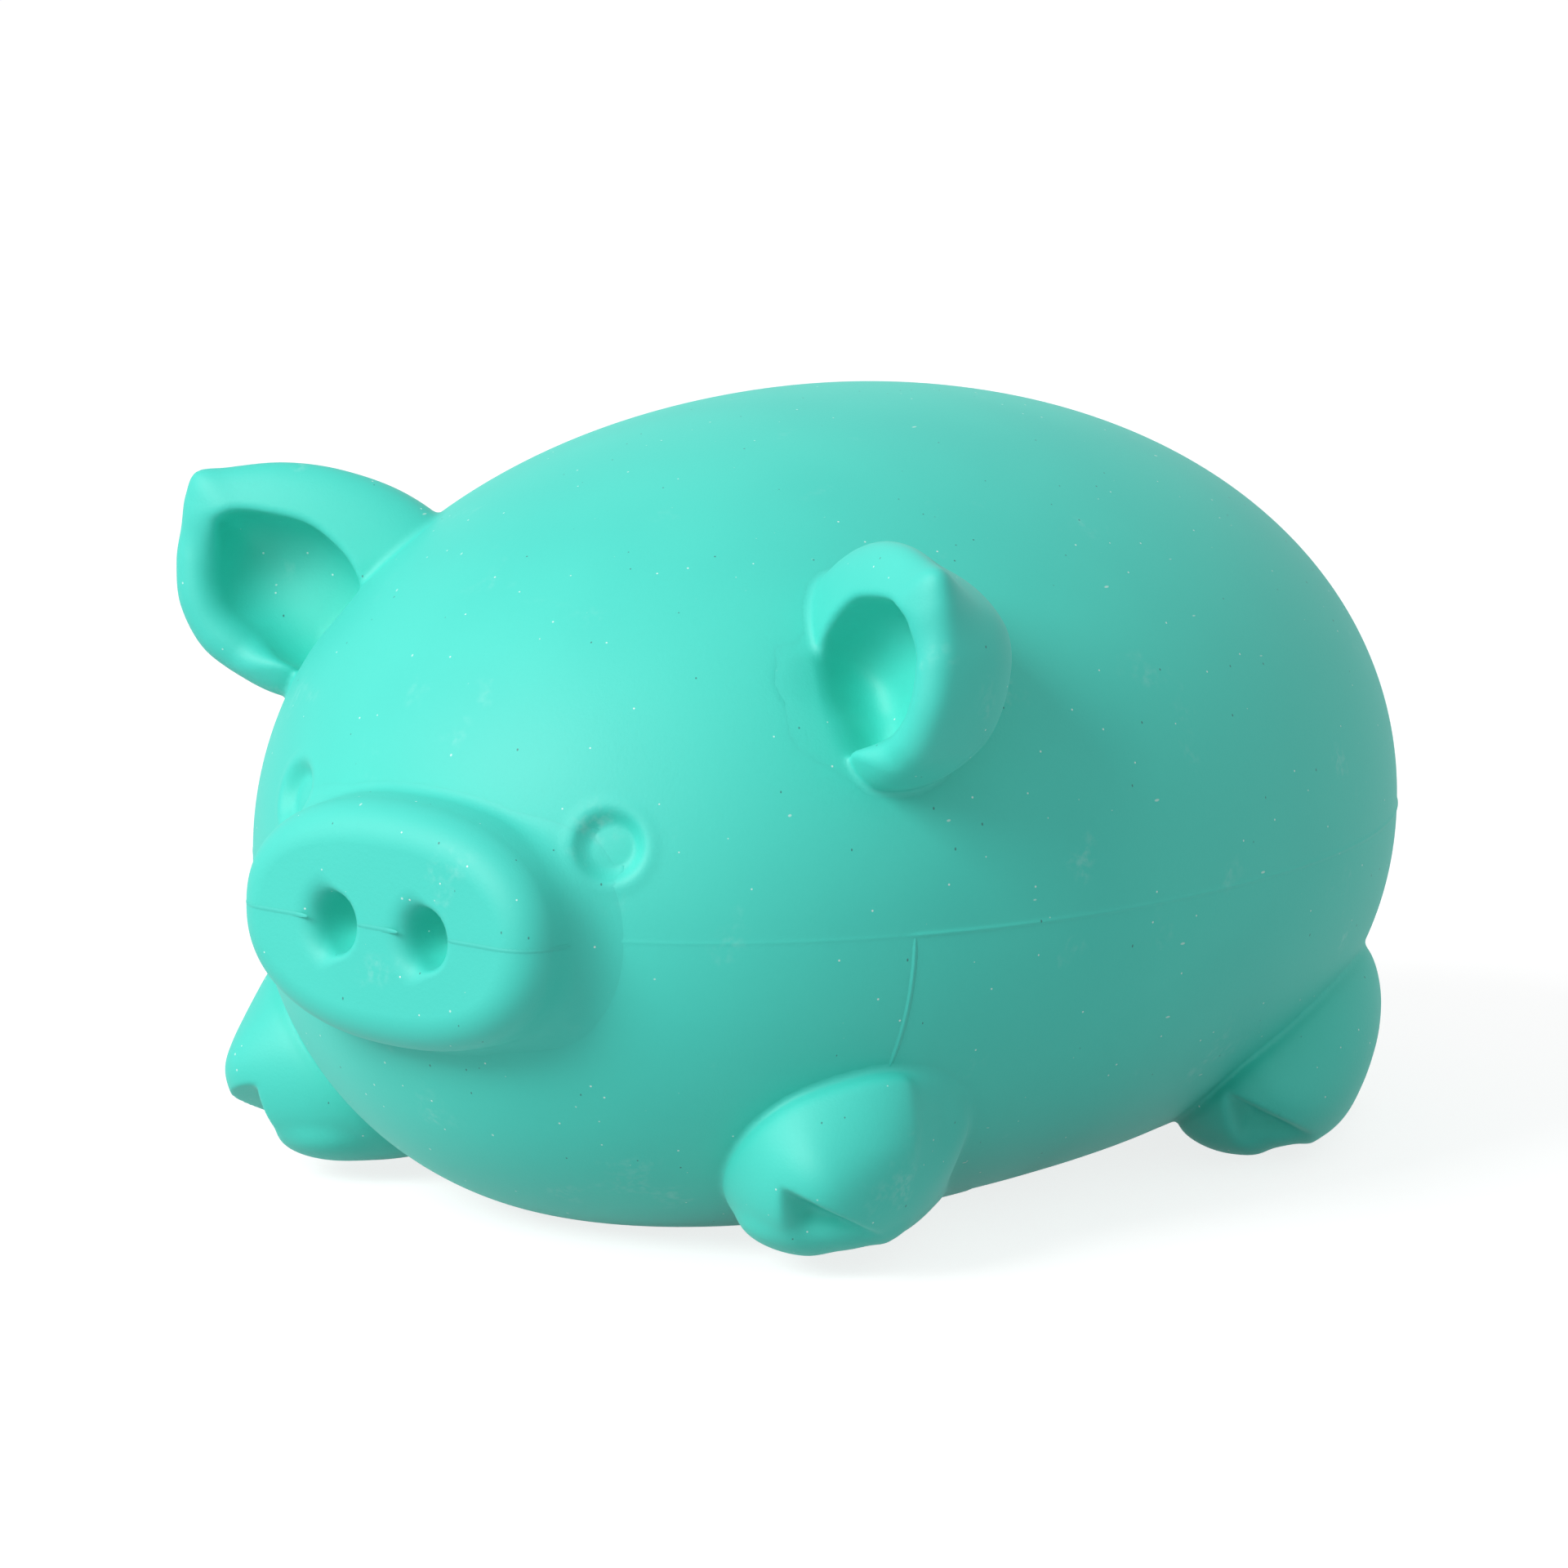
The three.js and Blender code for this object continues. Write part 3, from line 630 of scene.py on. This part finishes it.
def round_max(a, b, radius):
    """The larger of two distances, with their edge rounded to a radius."""
    a, b = a + radius, b + radius
    return np.minimum(np.maximum(a, b), 0) + np.hypot(np.maximum(a, 0), np.maximum(b, 0)) - radius


def ellipsoid(p, middle, half):
    """About the distance to an ellipsoid: its gauge over the size of the gauge's slope."""
    q = (p - middle) / half
    g = np.linalg.norm(q, axis=-1) + 1e-9
    return (g - 1) * g / (np.linalg.norm(q / half, axis=-1) + 1e-9)


def oval(x, z, half_x, half_z, squareness=2.25):
    """About the distance to an oval drawn slightly square."""
    power = np.abs(x / half_x) ** squareness + np.abs(z / half_z) ** squareness + 1e-9
    g = power ** (1 / squareness)
    steep_x = (np.abs(x) / half_x) ** (squareness - 1) / half_x
    steep_z = (np.abs(z) / half_z) ** (squareness - 1) / half_z
    return (g - 1) / (np.hypot(steep_x, steep_z) * g ** (1 - squareness) + 1e-9)


def snout_field(p):
    """Oval and face plane with a round edge, joined to the head, less the two nostrils."""
    x, y, z = p[..., 0], p[..., 1], p[..., 2] - (PARTING_HEIGHT - SNOUT_DROP)
    behind = np.clip(y - SNOUT_FACE - SNOUT_RIM, 0, SNOUT_FLARE_LENGTH)
    side = oval(x, z, SNOUT_WIDTH / 2, SNOUT_HEIGHT / 2) - SNOUT_FLARE * behind
    form = round_max(side, SNOUT_FACE - y, SNOUT_RIM)
    fillet = SNOUT_FILLET[0] + (SNOUT_FILLET[1] - SNOUT_FILLET[0]) * smooth_step(*SNOUT_SIDE, np.abs(x))
    whole = grown_from_body(form, p, fillet, SNOUT_MARGIN, relief=eye_relief)
    half = np.array([NOSTRIL_HALF[0], NOSTRIL_DEPTH + NOSTRIL_AHEAD, NOSTRIL_HALF[1]])
    for sign in (1, -1):
        middle = (sign * NOSTRIL_SPACING / 2, SNOUT_FACE - NOSTRIL_AHEAD, PARTING_HEIGHT - NOSTRIL_DROP)
        hole = ellipsoid(p, np.array(middle), half)
        soft = smooth_step(middle[0] + LIP_CHANGE[0], middle[0] + LIP_CHANGE[1], x)
        whole = smooth_max(whole, -hole, NOSTRIL_LIP[0] + (NOSTRIL_LIP[1] - NOSTRIL_LIP[0]) * soft)
    return np.maximum(whole, y - SNOUT_END)


SNOUT_BOX = (-16, SNOUT_FACE - 1, 10), (16, SNOUT_END + 1, 34)
points, faces = level_surface(snout_field, *SNOUT_BOX, SNOUT_STEP)
snout_button = make_piece("snout_button", points, faces, skin_rubber)
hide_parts("snout")

# %% [markdown]
# ## The feet
# Each foot is a soft pouch of two toes that grow out of the side of the belly. The upper toe hangs over
# the lower one with a sharp lower edge, a small pad bulges under its front end, and on the front feet a
# soft ridge runs down it where the slide of the mould closed. A foot could be sculpted by hand; three
# lobes, a fold and a ridge keep it a matter of a few real sizes, and one function makes them all.

# %% Feet
UPPER_TOE = dict(
    middle=(-9.8, 11.6, 0.1), front=24.6, rear=9.0, half_width=7.5, half_thickness=4.05,
    forward=(0.491, -0.871, 0.008), across=(0.604, 0.334, -0.724),
)
LOWER_TOE = dict(
    middle=(-5.1, 2.8, 3.9), front=15.1, rear=12.0, half_width=8.0, half_thickness=9.1,
    forward=(0.396, -0.816, -0.422), across=(0.426, 0.57, -0.703),
)
PAD = dict(
    middle=(-2.2, -5.1, -3.55), front=4.4, rear=6.0, half_width=3.8, half_thickness=2.1,
    forward=(-0.797, -0.604, 0.0), across=(0.604, -0.797, 0.0),
)
FRONT_FOOT = dict(
    y=-23.0, height=7.0, stand_off=0.0, size=1.0, ridge=1.0, fold_shift=0.0, lean=(0.04, -0.5, 0.0),
)
REAR_FOOT = dict(
    y=19.5, height=5.95, stand_off=2.8, size=0.92, ridge=0.0, fold_shift=0.2, lean=(0.3, 2.5, 0.25),
)
TOE_JOIN, FOOT_FILLET, FOOT_MARGIN = 3.0, 0.5, 1.6
FOOT_PUFF, PUFF_REACH = 0.6, 1.0  # how much steeper a foot leaves the body, and up to which distance
PAD_JOIN = 0.8
ALONG_FOLD = (0.797, 0.604, 0.0)
UNDER_FOLD, FOLD_PLANE = (-0.308, -0.422, -1.0), 4.6  # the fold lies in a plane, which falls to the rear
FOLD_DEPTH = 2.0
FOLD_STEP, FOLD_FADE = (0.0, 0.5), (4.5, 0.8)  # under the plane: where it steps back, and comes out again
FOLD_FRONT, FOLD_END = (-7.0, -4.5), (0.2, -3.0)  # along the fold: where it starts and runs out
RIDGE_RISE, RIDGE_TROUGH = 0.5, 0.5
RIDGE_PLACE, RIDGE_SLANT, RIDGE_LEVEL = 3.7, 0.18, 5.8  # before the foothold, and its lean from a level on
RIDGE_HALF = (4.0, 1.2)  # half-width of the ridge in front and behind
TROUGH_PLACE, TROUGH_HALF = 4.4, 2.4  # behind the ridge
RIDGE_FADE = (-1.5, 2.5)  # up the foot: where the ridge starts, and where it's all there
LEAN_SOFTNESS, FILL_FADE = 1.5, (1.0, -4.0)  # height over which the lean sets in, and the fill comes up
RELIEF_START = 1.5  # from the body: where fold and ridge are all there
SOLE, SOLE_EDGE = 0.1, 0.6  # height of the sole over the ground, and rounding of its edge
FOOT_STEP = 0.25
FOOT_FRONT, FOOT_REAR, FOOT_HEIGHTS = (-15, -19, 0), (10, 21, 0), (-0.6, 19)  # a box round a foothold


def lobe(p, form, size, foothold):
    """About the distance to a lobe: an ellipsoid, long in front of its middle and blunter behind it."""
    ahead = unit(form["forward"])
    side = np.array(form["across"]) - np.dot(form["across"], ahead) * ahead
    side = unit(side)
    over = np.cross(side, ahead)
    q = (p - foothold) / size - form["middle"]
    a, s, t = q @ ahead, q @ side, q @ over
    length = np.where(a > 0, form["front"], form["rear"])
    width, thickness = form["half_width"], form["half_thickness"]
    g = np.sqrt((a / length) ** 2 + (s / width) ** 2 + (t / thickness) ** 2) + 1e-9
    steep = np.sqrt((a / length**2) ** 2 + (s / width**2) ** 2 + (t / thickness**2) ** 2)
    return size * (g - 1) * g / (steep + 1e-9)


def fold_relief(q, shift):
    """Under the plane of the fold the lower toe steps back. The step begins softly at its front end and runs
    out where the plane leaves the foot. q is in the foot's own frame."""
    along, under = q @ np.array(ALONG_FOLD) - shift, q @ np.array(UNDER_FOLD) - FOLD_PLANE + shift
    step = smooth_step(*FOLD_STEP, under) * smooth_step(*FOLD_FADE, under)
    return FOLD_DEPTH * step * smooth_step(*FOLD_FRONT, along) * smooth_step(*FOLD_END, along)


def ridge_relief(q):
    """A ridge down the upper toe, where the slide of the mould closed, less a shallow trough behind it: two
    bell curves, the ridge's wide in front and narrow behind."""
    behind = q[..., 1] + RIDGE_PLACE + RIDGE_SLANT * (RIDGE_LEVEL - q[..., 2])
    hump = np.exp(-((behind / np.where(behind < 0, *RIDGE_HALF)) ** 2))
    trough = np.exp(-(((behind - TROUGH_PLACE) / TROUGH_HALF) ** 2))
    return (RIDGE_TROUGH * trough - RIDGE_RISE * hump) * smooth_step(*RIDGE_FADE, q[..., 2])


def lean_relief(q, rate, level, fill):
    """A foot drawn in above a level, more with every millimetre of height, and filled out below it."""
    height = q[..., 2] - level
    drawn_in = rate * LEAN_SOFTNESS * np.logaddexp(0, height / LEAN_SOFTNESS)
    return drawn_in - fill * smooth_step(*FILL_FADE, height)


def foot_field(y, height, stand_off, size, ridge, fold_shift, lean):
    """The field of a left foot, and the point of the skin that it grows from."""
    foothold = on_skin(np.array([0, y, height]), (1, 0, 0)) + [stand_off, 0, 0]

    def field(p):
        q = (p - foothold) / size
        upper = lobe(p, UPPER_TOE, size, foothold)
        lower = lobe(p, LOWER_TOE, size, foothold)
        toes = smooth_min(upper, lower, TOE_JOIN * size)
        out = np.maximum(body_distance(p), 0)
        change = fold_relief(q, fold_shift) + ridge * ridge_relief(q)
        puff = FOOT_PUFF * out * np.exp(-out / PUFF_REACH)
        toes = toes + size * change * smooth_step(0.0, RELIEF_START, out) - puff
        toes = toes + lean_relief(q, *lean)
        toes = smooth_min(toes, lobe(p, PAD, size, foothold), PAD_JOIN * size)
        whole = grown_from_body(toes, p, FOOT_FILLET, FOOT_MARGIN)
        return smooth_max(whole, SOLE - p[..., 2], SOLE_EDGE)

    return field, foothold


def make_feet(place, node_left, node_right):
    """Both feet of a pair, one the mirror image of the other."""
    field, foothold = foot_field(**place)
    low, high = foothold + FOOT_FRONT, foothold + FOOT_REAR
    low[2], high[2] = FOOT_HEIGHTS
    points, faces = level_surface(field, low, high, FOOT_STEP)
    pieces = []
    for node, (p, f) in ((node_left, (points, faces)), (node_right, mirrored(points, faces))):
        piece = make_piece("toes_" + node, p, f, skin_rubber)
        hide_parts(node)
        pieces.append(piece)
    return pieces


feet = make_feet(FRONT_FOOT, "foot_front_left", "foot_front_right")
feet += make_feet(REAR_FOOT, "foot_rear_left", "foot_rear_right")

# %% [markdown]
# ## The ears
# An ear is a leaf with a rolled rim, a pointed outer corner and a domed back. A subdivided sheet could be
# folded into that shape, but a swelling between two measured outlines, one for the rim and one for the
# back, keeps the corner sharp and the back round. A tiny fillet joins it to the head, because the mould's
# core left a crisp line there, and the hollow is cut out of both. The right ear is the mirror image of
# the left one.

# %% Ears
EAR_OUTLINE = [
    (1.2, -8.0), (-1.2, -7.2), (-2.2, -6.1), (-1.5, -4.6), (-0.6, -3.2), (-0.4, -1.4), (-0.7, 0.4),
    (-1.8, 1.8), (-3.6, 3.2), (-5.0, 5.5), (-4.5, 8.4), (-1.2, 8.8), (2.5, 8.3), (6.2, 7.0), (9.4, 4.9),
    (12.2, 2.0), (13.8, 0.2), (13.0, -1.7), (11.6, -3.4), (10.1, -5.5), (7.9, -7.5), (4.7, -8.5),
]
EAR_BACK_OUTLINE = [
    (1.2, -8.0), (-1.4, -7.1), (-3.0, -6.1), (-3.8, -3.8), (-4.4, 0.5), (-5.0, 5.0), (-4.5, 8.4),
    (-1.2, 8.8), (2.5, 8.0), (5.6, 6.0), (8.1, 3.6), (9.9, 1.0), (10.8, -1.4), (10.4, -3.8),
    (9.0, -5.7), (7.0, -7.3), (4.4, -8.3),
]
OUTLINE_CENTRE = (3.8, -0.6)
EAR_FRONT, EAR_BACK = 3.5, 6.4  # how far the leaf swells before and behind its widest section
TIP_FADE = (1.0, 6.5)  # behind the rim: where the pointed corner starts to die out, and where it has gone
LEAF_POWERS = (2.4, 2.2, 2.3)  # of the outline's share and of the thickness's, and the root of their sum
EAR_FILLET, EAR_MARGIN = 0.5, 2.0
INNER_EDGE = (0.7, 3.4)  # rounding of the hollow's edge, and of its lower edge
SOFT_BELOW, SOFT_OUTWARDS = (0.0, -4.0), (-0.5, 3.0)  # up and out from the hinge: where the edge turns soft
EAR_STEP = 0.25
EAR_BOX = ((-7, 16), (-10, 7), (-12, 11))  # out, back and up from the hinge
ear_radius = closed_curve(EAR_OUTLINE, OUTLINE_CENTRE)
back_radius = closed_curve(EAR_BACK_OUTLINE, OUTLINE_CENTRE)


def leaf_gauge(p):
    """A flat swelling: the share of the outline and the share of the thickness, as a squared circle. The
    outline loses its pointed corner on the way to the back."""
    a, depth, b = np.moveaxis((p - ear_hinge) @ ear_turn.T, -1, 0)
    behind = depth - (EAR_RIM + EAR_FRONT)
    thickness = np.where(behind > 0, EAR_BACK, EAR_FRONT)
    pointed, plain = (share_of(r, OUTLINE_CENTRE, a, b) for r in (ear_radius, back_radius))
    share = pointed + (plain - pointed) * smooth_step(EAR_RIM + TIP_FADE[0], EAR_RIM + TIP_FADE[1], depth)
    outline, thick, root = LEAF_POWERS
    power = share**outline + np.abs(behind / thickness) ** thick
    return (power + 1e-9) ** (1 / root) - 1


def ear_field(p):
    """The leaf joined to the head, less the hollow, which also dips into the head. The piece covers the head
    a little beyond both."""
    leaf, hollow = distance_of(leaf_gauge, p), distance_of(hollow_gauge, p)
    cover = np.minimum(leaf, hollow_reach(p))
    whole = grown_from_body(leaf, p, EAR_FILLET, EAR_MARGIN, sunk=EAR_SUNK, cover=cover)
    out, _, height = np.moveaxis((p - ear_hinge) @ ear_turn.T, -1, 0)
    soft = smooth_step(*SOFT_BELOW, height) * smooth_step(*SOFT_OUTWARDS, out)
    edge = INNER_EDGE[0] + (INNER_EDGE[1] - INNER_EDGE[0]) * soft
    return smooth_max(whole, -hollow, edge)


corners = np.array([[a, d, b] for a in EAR_BOX[0] for d in EAR_BOX[1] for b in EAR_BOX[2]])
corners = corners @ ear_turn + ear_hinge
points, faces = level_surface(ear_field, corners.min(0), corners.max(0), EAR_STEP)
ears = {}
for side, (p, f) in (("left", (points, faces)), ("right", mirrored(points, faces))):
    ears[side] = make_piece("ear_leaf_" + side, p, f, skin_rubber)
    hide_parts("ear_" + side)

# %% [markdown]
# ## Reliefs along a path
# The tail, which the photograph doesn't show, is taken as a flat curl on the rump. The mould left fine
# raised lines: one over each front foot where a slide met it, and a hairline across the snout in the
# parting plane. A bevelled curve would lie there like a wire. Each of these is a profile carried along a
# path on the skin instead: a smooth hump that starts and ends level, so it seems to swell out of the
# rubber.

# %% Tail and mould lines
TAIL_HEIGHT, TAIL_CURL_RADIUS, TAIL_TURNS, TAIL_TIGHTENING = 30.5, 4.0, 1.3, 0.7
TAIL_HUMP = dict(half_width=1.7, rise=1.25, taper=2.0)
SLIDE_LINE_FOOT = 13.6  # height at which the line ends
SLIDE_HUMP = dict(half_width=0.2, rise=0.065, taper=1.5)
SNOUT_HUMP = dict(half_width=0.15, rise=0.022, taper=0.8, level=True)
NOSTRIL_SIDES = (1.7, 5.7)  # from the middle of the face: the hairline stops here on each side of a nostril
PAST_RIM = np.linspace(0.3, 3.0, 10)  # steps of the hairline behind the snout's rim
HUMP_POINTS = 17
HUMP_ROOT = ([0.6, -0.6], [-0.35, -0.35])  # across and up: the two points that close it inside the skin
HUMP_SINK = 0.03  # depth of its edges under the skin, as a share of the rise


def relief(path, half_width, rise, taper, level=False):
    """A hump along a path on the skin. Across it the height is the square of (1 - w squared), with w from -1
    to 1; its width and rise shrink to nothing over a taper at both ends; and it's closed inside the skin. A
    level path can also run over another form: outwards is then square to the path."""
    ahead = unit(np.gradient(path, axis=0))
    out = np.cross(ahead, [0, 0, 1]) if level else body_normal(path)
    side = unit(np.cross(out, ahead))
    along = np.concatenate([[0], np.cumsum(np.linalg.norm(np.diff(path, axis=0), axis=1))])
    size = np.sqrt(1 - (1 - np.clip(np.minimum(along, along[-1] - along) / taper, 0, 1)) ** 2)[:, None]
    top = np.linspace(-1, 1, HUMP_POINTS)
    w = np.concatenate([top, HUMP_ROOT[0]])[None]
    height = np.concatenate([(1 - top**2) ** 2, HUMP_ROOT[1]])[None] * rise * size
    offset = w * half_width * np.maximum(size, 0.02)
    lift = height - HUMP_SINK * rise
    return path[:, None] + offset[..., None] * side[:, None] + lift[..., None] * out[:, None]


def make_line_pair(name, path, hump):
    """A fine line at the toy's left and its mirror image at the right."""
    points, faces = close_ends(relief(path, **hump))
    left = make_piece(name + "_left", points, faces, skin_rubber)
    return [left, make_piece(name + "_right", *mirrored(points, faces), skin_rubber)]


turn = np.linspace(0, 1, 90)
radius = TAIL_CURL_RADIUS * (1 - TAIL_TIGHTENING * turn)
angle = -np.pi / 2 + 2 * np.pi * TAIL_TURNS * turn
curl = np.stack([radius * np.cos(angle), 0 * turn, TAIL_HEIGHT + radius * np.sin(angle)], -1)
points, faces = close_ends(relief(on_skin(curl, (0, 1, 0)), **TAIL_HUMP))
tail_curl = make_piece("tail_curl", points, faces, skin_rubber)
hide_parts("tail")

height = np.linspace(PARTING_HEIGHT, SLIDE_LINE_FOOT, 40)
inner = np.stack([0 * height, np.full(len(height), LINE_START), height], -1)
lines = make_line_pair("slide_line", on_skin(inner, (1, 0, 0)), SLIDE_HUMP)

bend = np.linspace(0, np.pi / 2, 14)[1:]
across = np.concatenate([
    np.linspace(NOSTRIL_SIDES[1], SNOUT_WIDTH / 2 - SNOUT_RIM, 20),
    SNOUT_WIDTH / 2 - SNOUT_RIM * (1 - np.sin(bend)),
    SNOUT_WIDTH / 2 + SNOUT_FLARE * PAST_RIM,
])
back = SNOUT_FACE + np.concatenate([np.zeros(20), SNOUT_RIM * (1 - np.cos(bend)), SNOUT_RIM + PAST_RIM])
outer = np.stack([across, back, np.full(len(back), PARTING_HEIGHT)], -1)
lines += make_line_pair("snout_line", outer, SNOUT_HUMP)
ends = [[side * NOSTRIL_SIDES[0], SNOUT_FACE, PARTING_HEIGHT] for side in (-1, 1)]
points, faces = close_ends(relief(np.linspace(*ends, 20), **SNOUT_HUMP))
lines.append(make_piece("snout_line_middle", points, faces, skin_rubber))

# %% [markdown]
# ## What is inside
# Such toys are filled with dough through a hole in the belly, which a small plug closes. The photograph
# shows neither, so both are taken as usual. The plug could be three cylinders; a profile turned round its
# axis gives it its lips as well. The dough takes the room that's left, so it's the same egg, drawn in by
# the wall and lifted over the plug.

# %% Plug and dough
SKIN_WALL, FIT_GAP = 2.5, 0.3
PLUG_PROFILE = [  # radius and height
    (0.05, 0.34), (1.6, 0.32), (3.3, 0.3), (3.8, 0.42), (4.0, 0.7), (3.9, 1.0), (3.6, 1.1), (2.3, 1.12),
    (2.2, 1.3), (2.2, 2.7), (2.3, 2.8), (3.0, 2.82), (3.1, 2.95), (3.0, 3.15), (2.3, 4.25), (1.9, 4.4),
    (0.05, 4.4),
]
DOUGH_ROUNDING = 1.0  # of the bend from its side to its level underside
OVER_PLUG, OVER_PLUG_LIFT = (4, 7), 2.2

turn = np.linspace(0, 2 * np.pi, 48, endpoint=False)
radius, height = np.array(PLUG_PROFILE).T[:, :, None]
grid = np.stack([radius * np.cos(turn), PLUG_Y + radius * np.sin(turn), height + 0 * turn], -1)
points, faces = close_ends(grid)
belly_plug = make_piece("belly_plug", points, faces, plug_rubber)
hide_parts("fill_plug")

inset = SKIN_WALL + FIT_GAP
polar = np.linspace(0, np.pi, 90)[1:-1, None]
grid = egg(polar, np.linspace(-np.pi / 2, 1.5 * np.pi, 96, endpoint=False)[None], inset)
lift = grid[..., 2] - inset
grid[..., 2] = inset + (lift + np.hypot(lift, DOUGH_ROUNDING)) / 2
over_plug = 1 - smooth_step(*OVER_PLUG, np.hypot(grid[..., 0], grid[..., 1] - PLUG_Y))
grid[..., 2] += np.where(grid[..., 2] < PARTING_HEIGHT / 2, OVER_PLUG_LIFT * over_plug, 0)
points, faces = close_ends(grid)
dough_filling = make_piece("dough_filling", points, faces, dough)
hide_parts("filling")

# %% [markdown]
# ## Where the pieces stay
# The toy's back comes down when it's squeezed. If each piece followed one body alone, the skin would tear
# at the parting line. Here the pieces of skin, the dough and the ears only have their places baked into
# their points and follow no body; the plug alone is attached to the root body.

# %% Bodies
for piece in (body_skin, snout_button, tail_curl, dough_filling, *feet, *lines):
    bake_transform(piece)
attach(belly_plug, "root")
EAR_BEND = (-1.2, 3.0)  # out from the root: where an ear would start to follow its hinge, and where it would; the ends below are worked out from them but not used
for side, sign in (("left", 1), ("right", -1)):
    ends = [(ear_hinge + ear_turn[0] * out) * [sign, 1, 1] * MM for out in EAR_BEND]
    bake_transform(ears[side])

# %% [markdown]
# ## Stage and light
# The photograph has a plain white ground. A floor lit up to white would bleach the toy from below. So the
# floor is grey and matte for the light that falls on it. Only the camera and gloss see another ground: a
# darker grey with a glow, which add up to white where no shadow falls. The toy's own shadow stays, and
# shows that it stands on something.

# %% Floor
def seen_directly(tree):
    """1 for rays from the camera and for rays that gloss or glass sends on, 0 for the light that falls."""
    path = add_node(tree, "ShaderNodeLightPath")
    looks = path.outputs["Is Camera Ray"]
    for name in ("Is Glossy Ray", "Is Transmission Ray"):
        total = add_node(tree, "ShaderNodeMath", operation="MAXIMUM")
        tree.links.new(looks, total.inputs[0])
        tree.links.new(path.outputs[name], total.inputs[1])
        looks = total.outputs[0]
    return looks


MATTE_GREY, SEEN_GREY = (0.5, 0.5, 0.5, 1), (0.34, 0.34, 0.34, 1)
WHITE = (1, 1, 1, 1)
GLOW = 0.8


def stage_material():
    """One matte ground for the light, and another with a glow added for what the camera and gloss see."""
    material = bpy.data.materials.new("pale_ground")
    material.use_nodes = True
    tree = material.node_tree
    tree.nodes.clear()
    output = add_node(tree, "ShaderNodeOutputMaterial")
    matte = add_node(tree, "ShaderNodeBsdfDiffuse", {"Color": MATTE_GREY})
    seen = add_node(tree, "ShaderNodeBsdfDiffuse", {"Color": SEEN_GREY})
    glow = add_node(tree, "ShaderNodeEmission", {"Color": WHITE, "Strength": GLOW})
    both = add_node(tree, "ShaderNodeAddShader")
    tree.links.new(seen.outputs[0], both.inputs[0])
    tree.links.new(glow.outputs[0], both.inputs[1])
    mix = add_node(tree, "ShaderNodeMixShader")
    tree.links.new(seen_directly(tree), mix.inputs[0])
    tree.links.new(matte.outputs[0], mix.inputs[1])
    tree.links.new(both.outputs[0], mix.inputs[2])
    tree.links.new(mix.outputs[0], output.inputs["Surface"])
    return material


FLOOR_RADIUS, FLOOR_DROP = 3000.0, 0.05
angle = np.linspace(0, 2 * np.pi, 64, endpoint=False)
rim = np.stack([FLOOR_RADIUS * np.cos(angle), FLOOR_RADIUS * np.sin(angle), 0 * angle - FLOOR_DROP], -1)
floor = make_piece("floor", rim, [list(range(64))], stage_material())

# %% [markdown]
# ## One soft lamp and a white room
# How bright the egg is at each of its slopes gives the light away: one soft source in front, high at the
# picture's left, and an even light from all round. A picture of a studio could light it, but one large
# area lamp and a plain world do the same with a few numbers. Only the camera and gloss see the world as
# pure white.

# %% Lamp and world
KEY_PLACE, LAMP_AIM = (-0.26, -0.9, 0.68), (0, 0, 0.025)  # metres; the lamp aims at the middle of the toy
KEY_SIZE, KEY_POWER = 0.55, 10.8  # metres and watts
ROUND_LIGHT = 0.5  # strength of the light from all round


def add_lamp(name, place, size, power):
    """A square area lamp that looks at the middle of the toy: its own z axis points away from there."""
    lamp = bpy.data.objects.new(name, bpy.data.lights.new(name, "AREA"))
    lamp.data.shape = "SQUARE"
    lamp.data.size = size
    lamp.data.energy = power
    back = unit(np.array(place) - LAMP_AIM)
    side = unit(np.cross([0, 0, 1], back))
    turn = np.eye(4)
    turn[:3] = np.column_stack([side, np.cross(back, side), back, place])
    lamp.matrix_world = Matrix(turn.tolist())
    bpy.context.scene.collection.objects.link(lamp)


add_lamp("key", KEY_PLACE, KEY_SIZE, KEY_POWER)

world = bpy.data.worlds.new("soft_white")
world.use_nodes = True
bpy.context.scene.world = world
tree = world.node_tree
fill = tree.nodes["Background"]
fill.inputs["Color"].default_value = WHITE
fill.inputs["Strength"].default_value = ROUND_LIGHT
white = add_node(tree, "ShaderNodeBackground", {"Color": WHITE, "Strength": 1.0})
mix = add_node(tree, "ShaderNodeMixShader")
tree.links.new(seen_directly(tree), mix.inputs[0])
tree.links.new(fill.outputs[0], mix.inputs[1])
tree.links.new(white.outputs[0], mix.inputs[2])
tree.links.new(mix.outputs[0], tree.nodes["World Output"].inputs["Surface"])
bpy.context.scene.view_settings.view_transform = "Standard"
print("one lamp of", KEY_POWER, "W and a world of strength", ROUND_LIGHT)
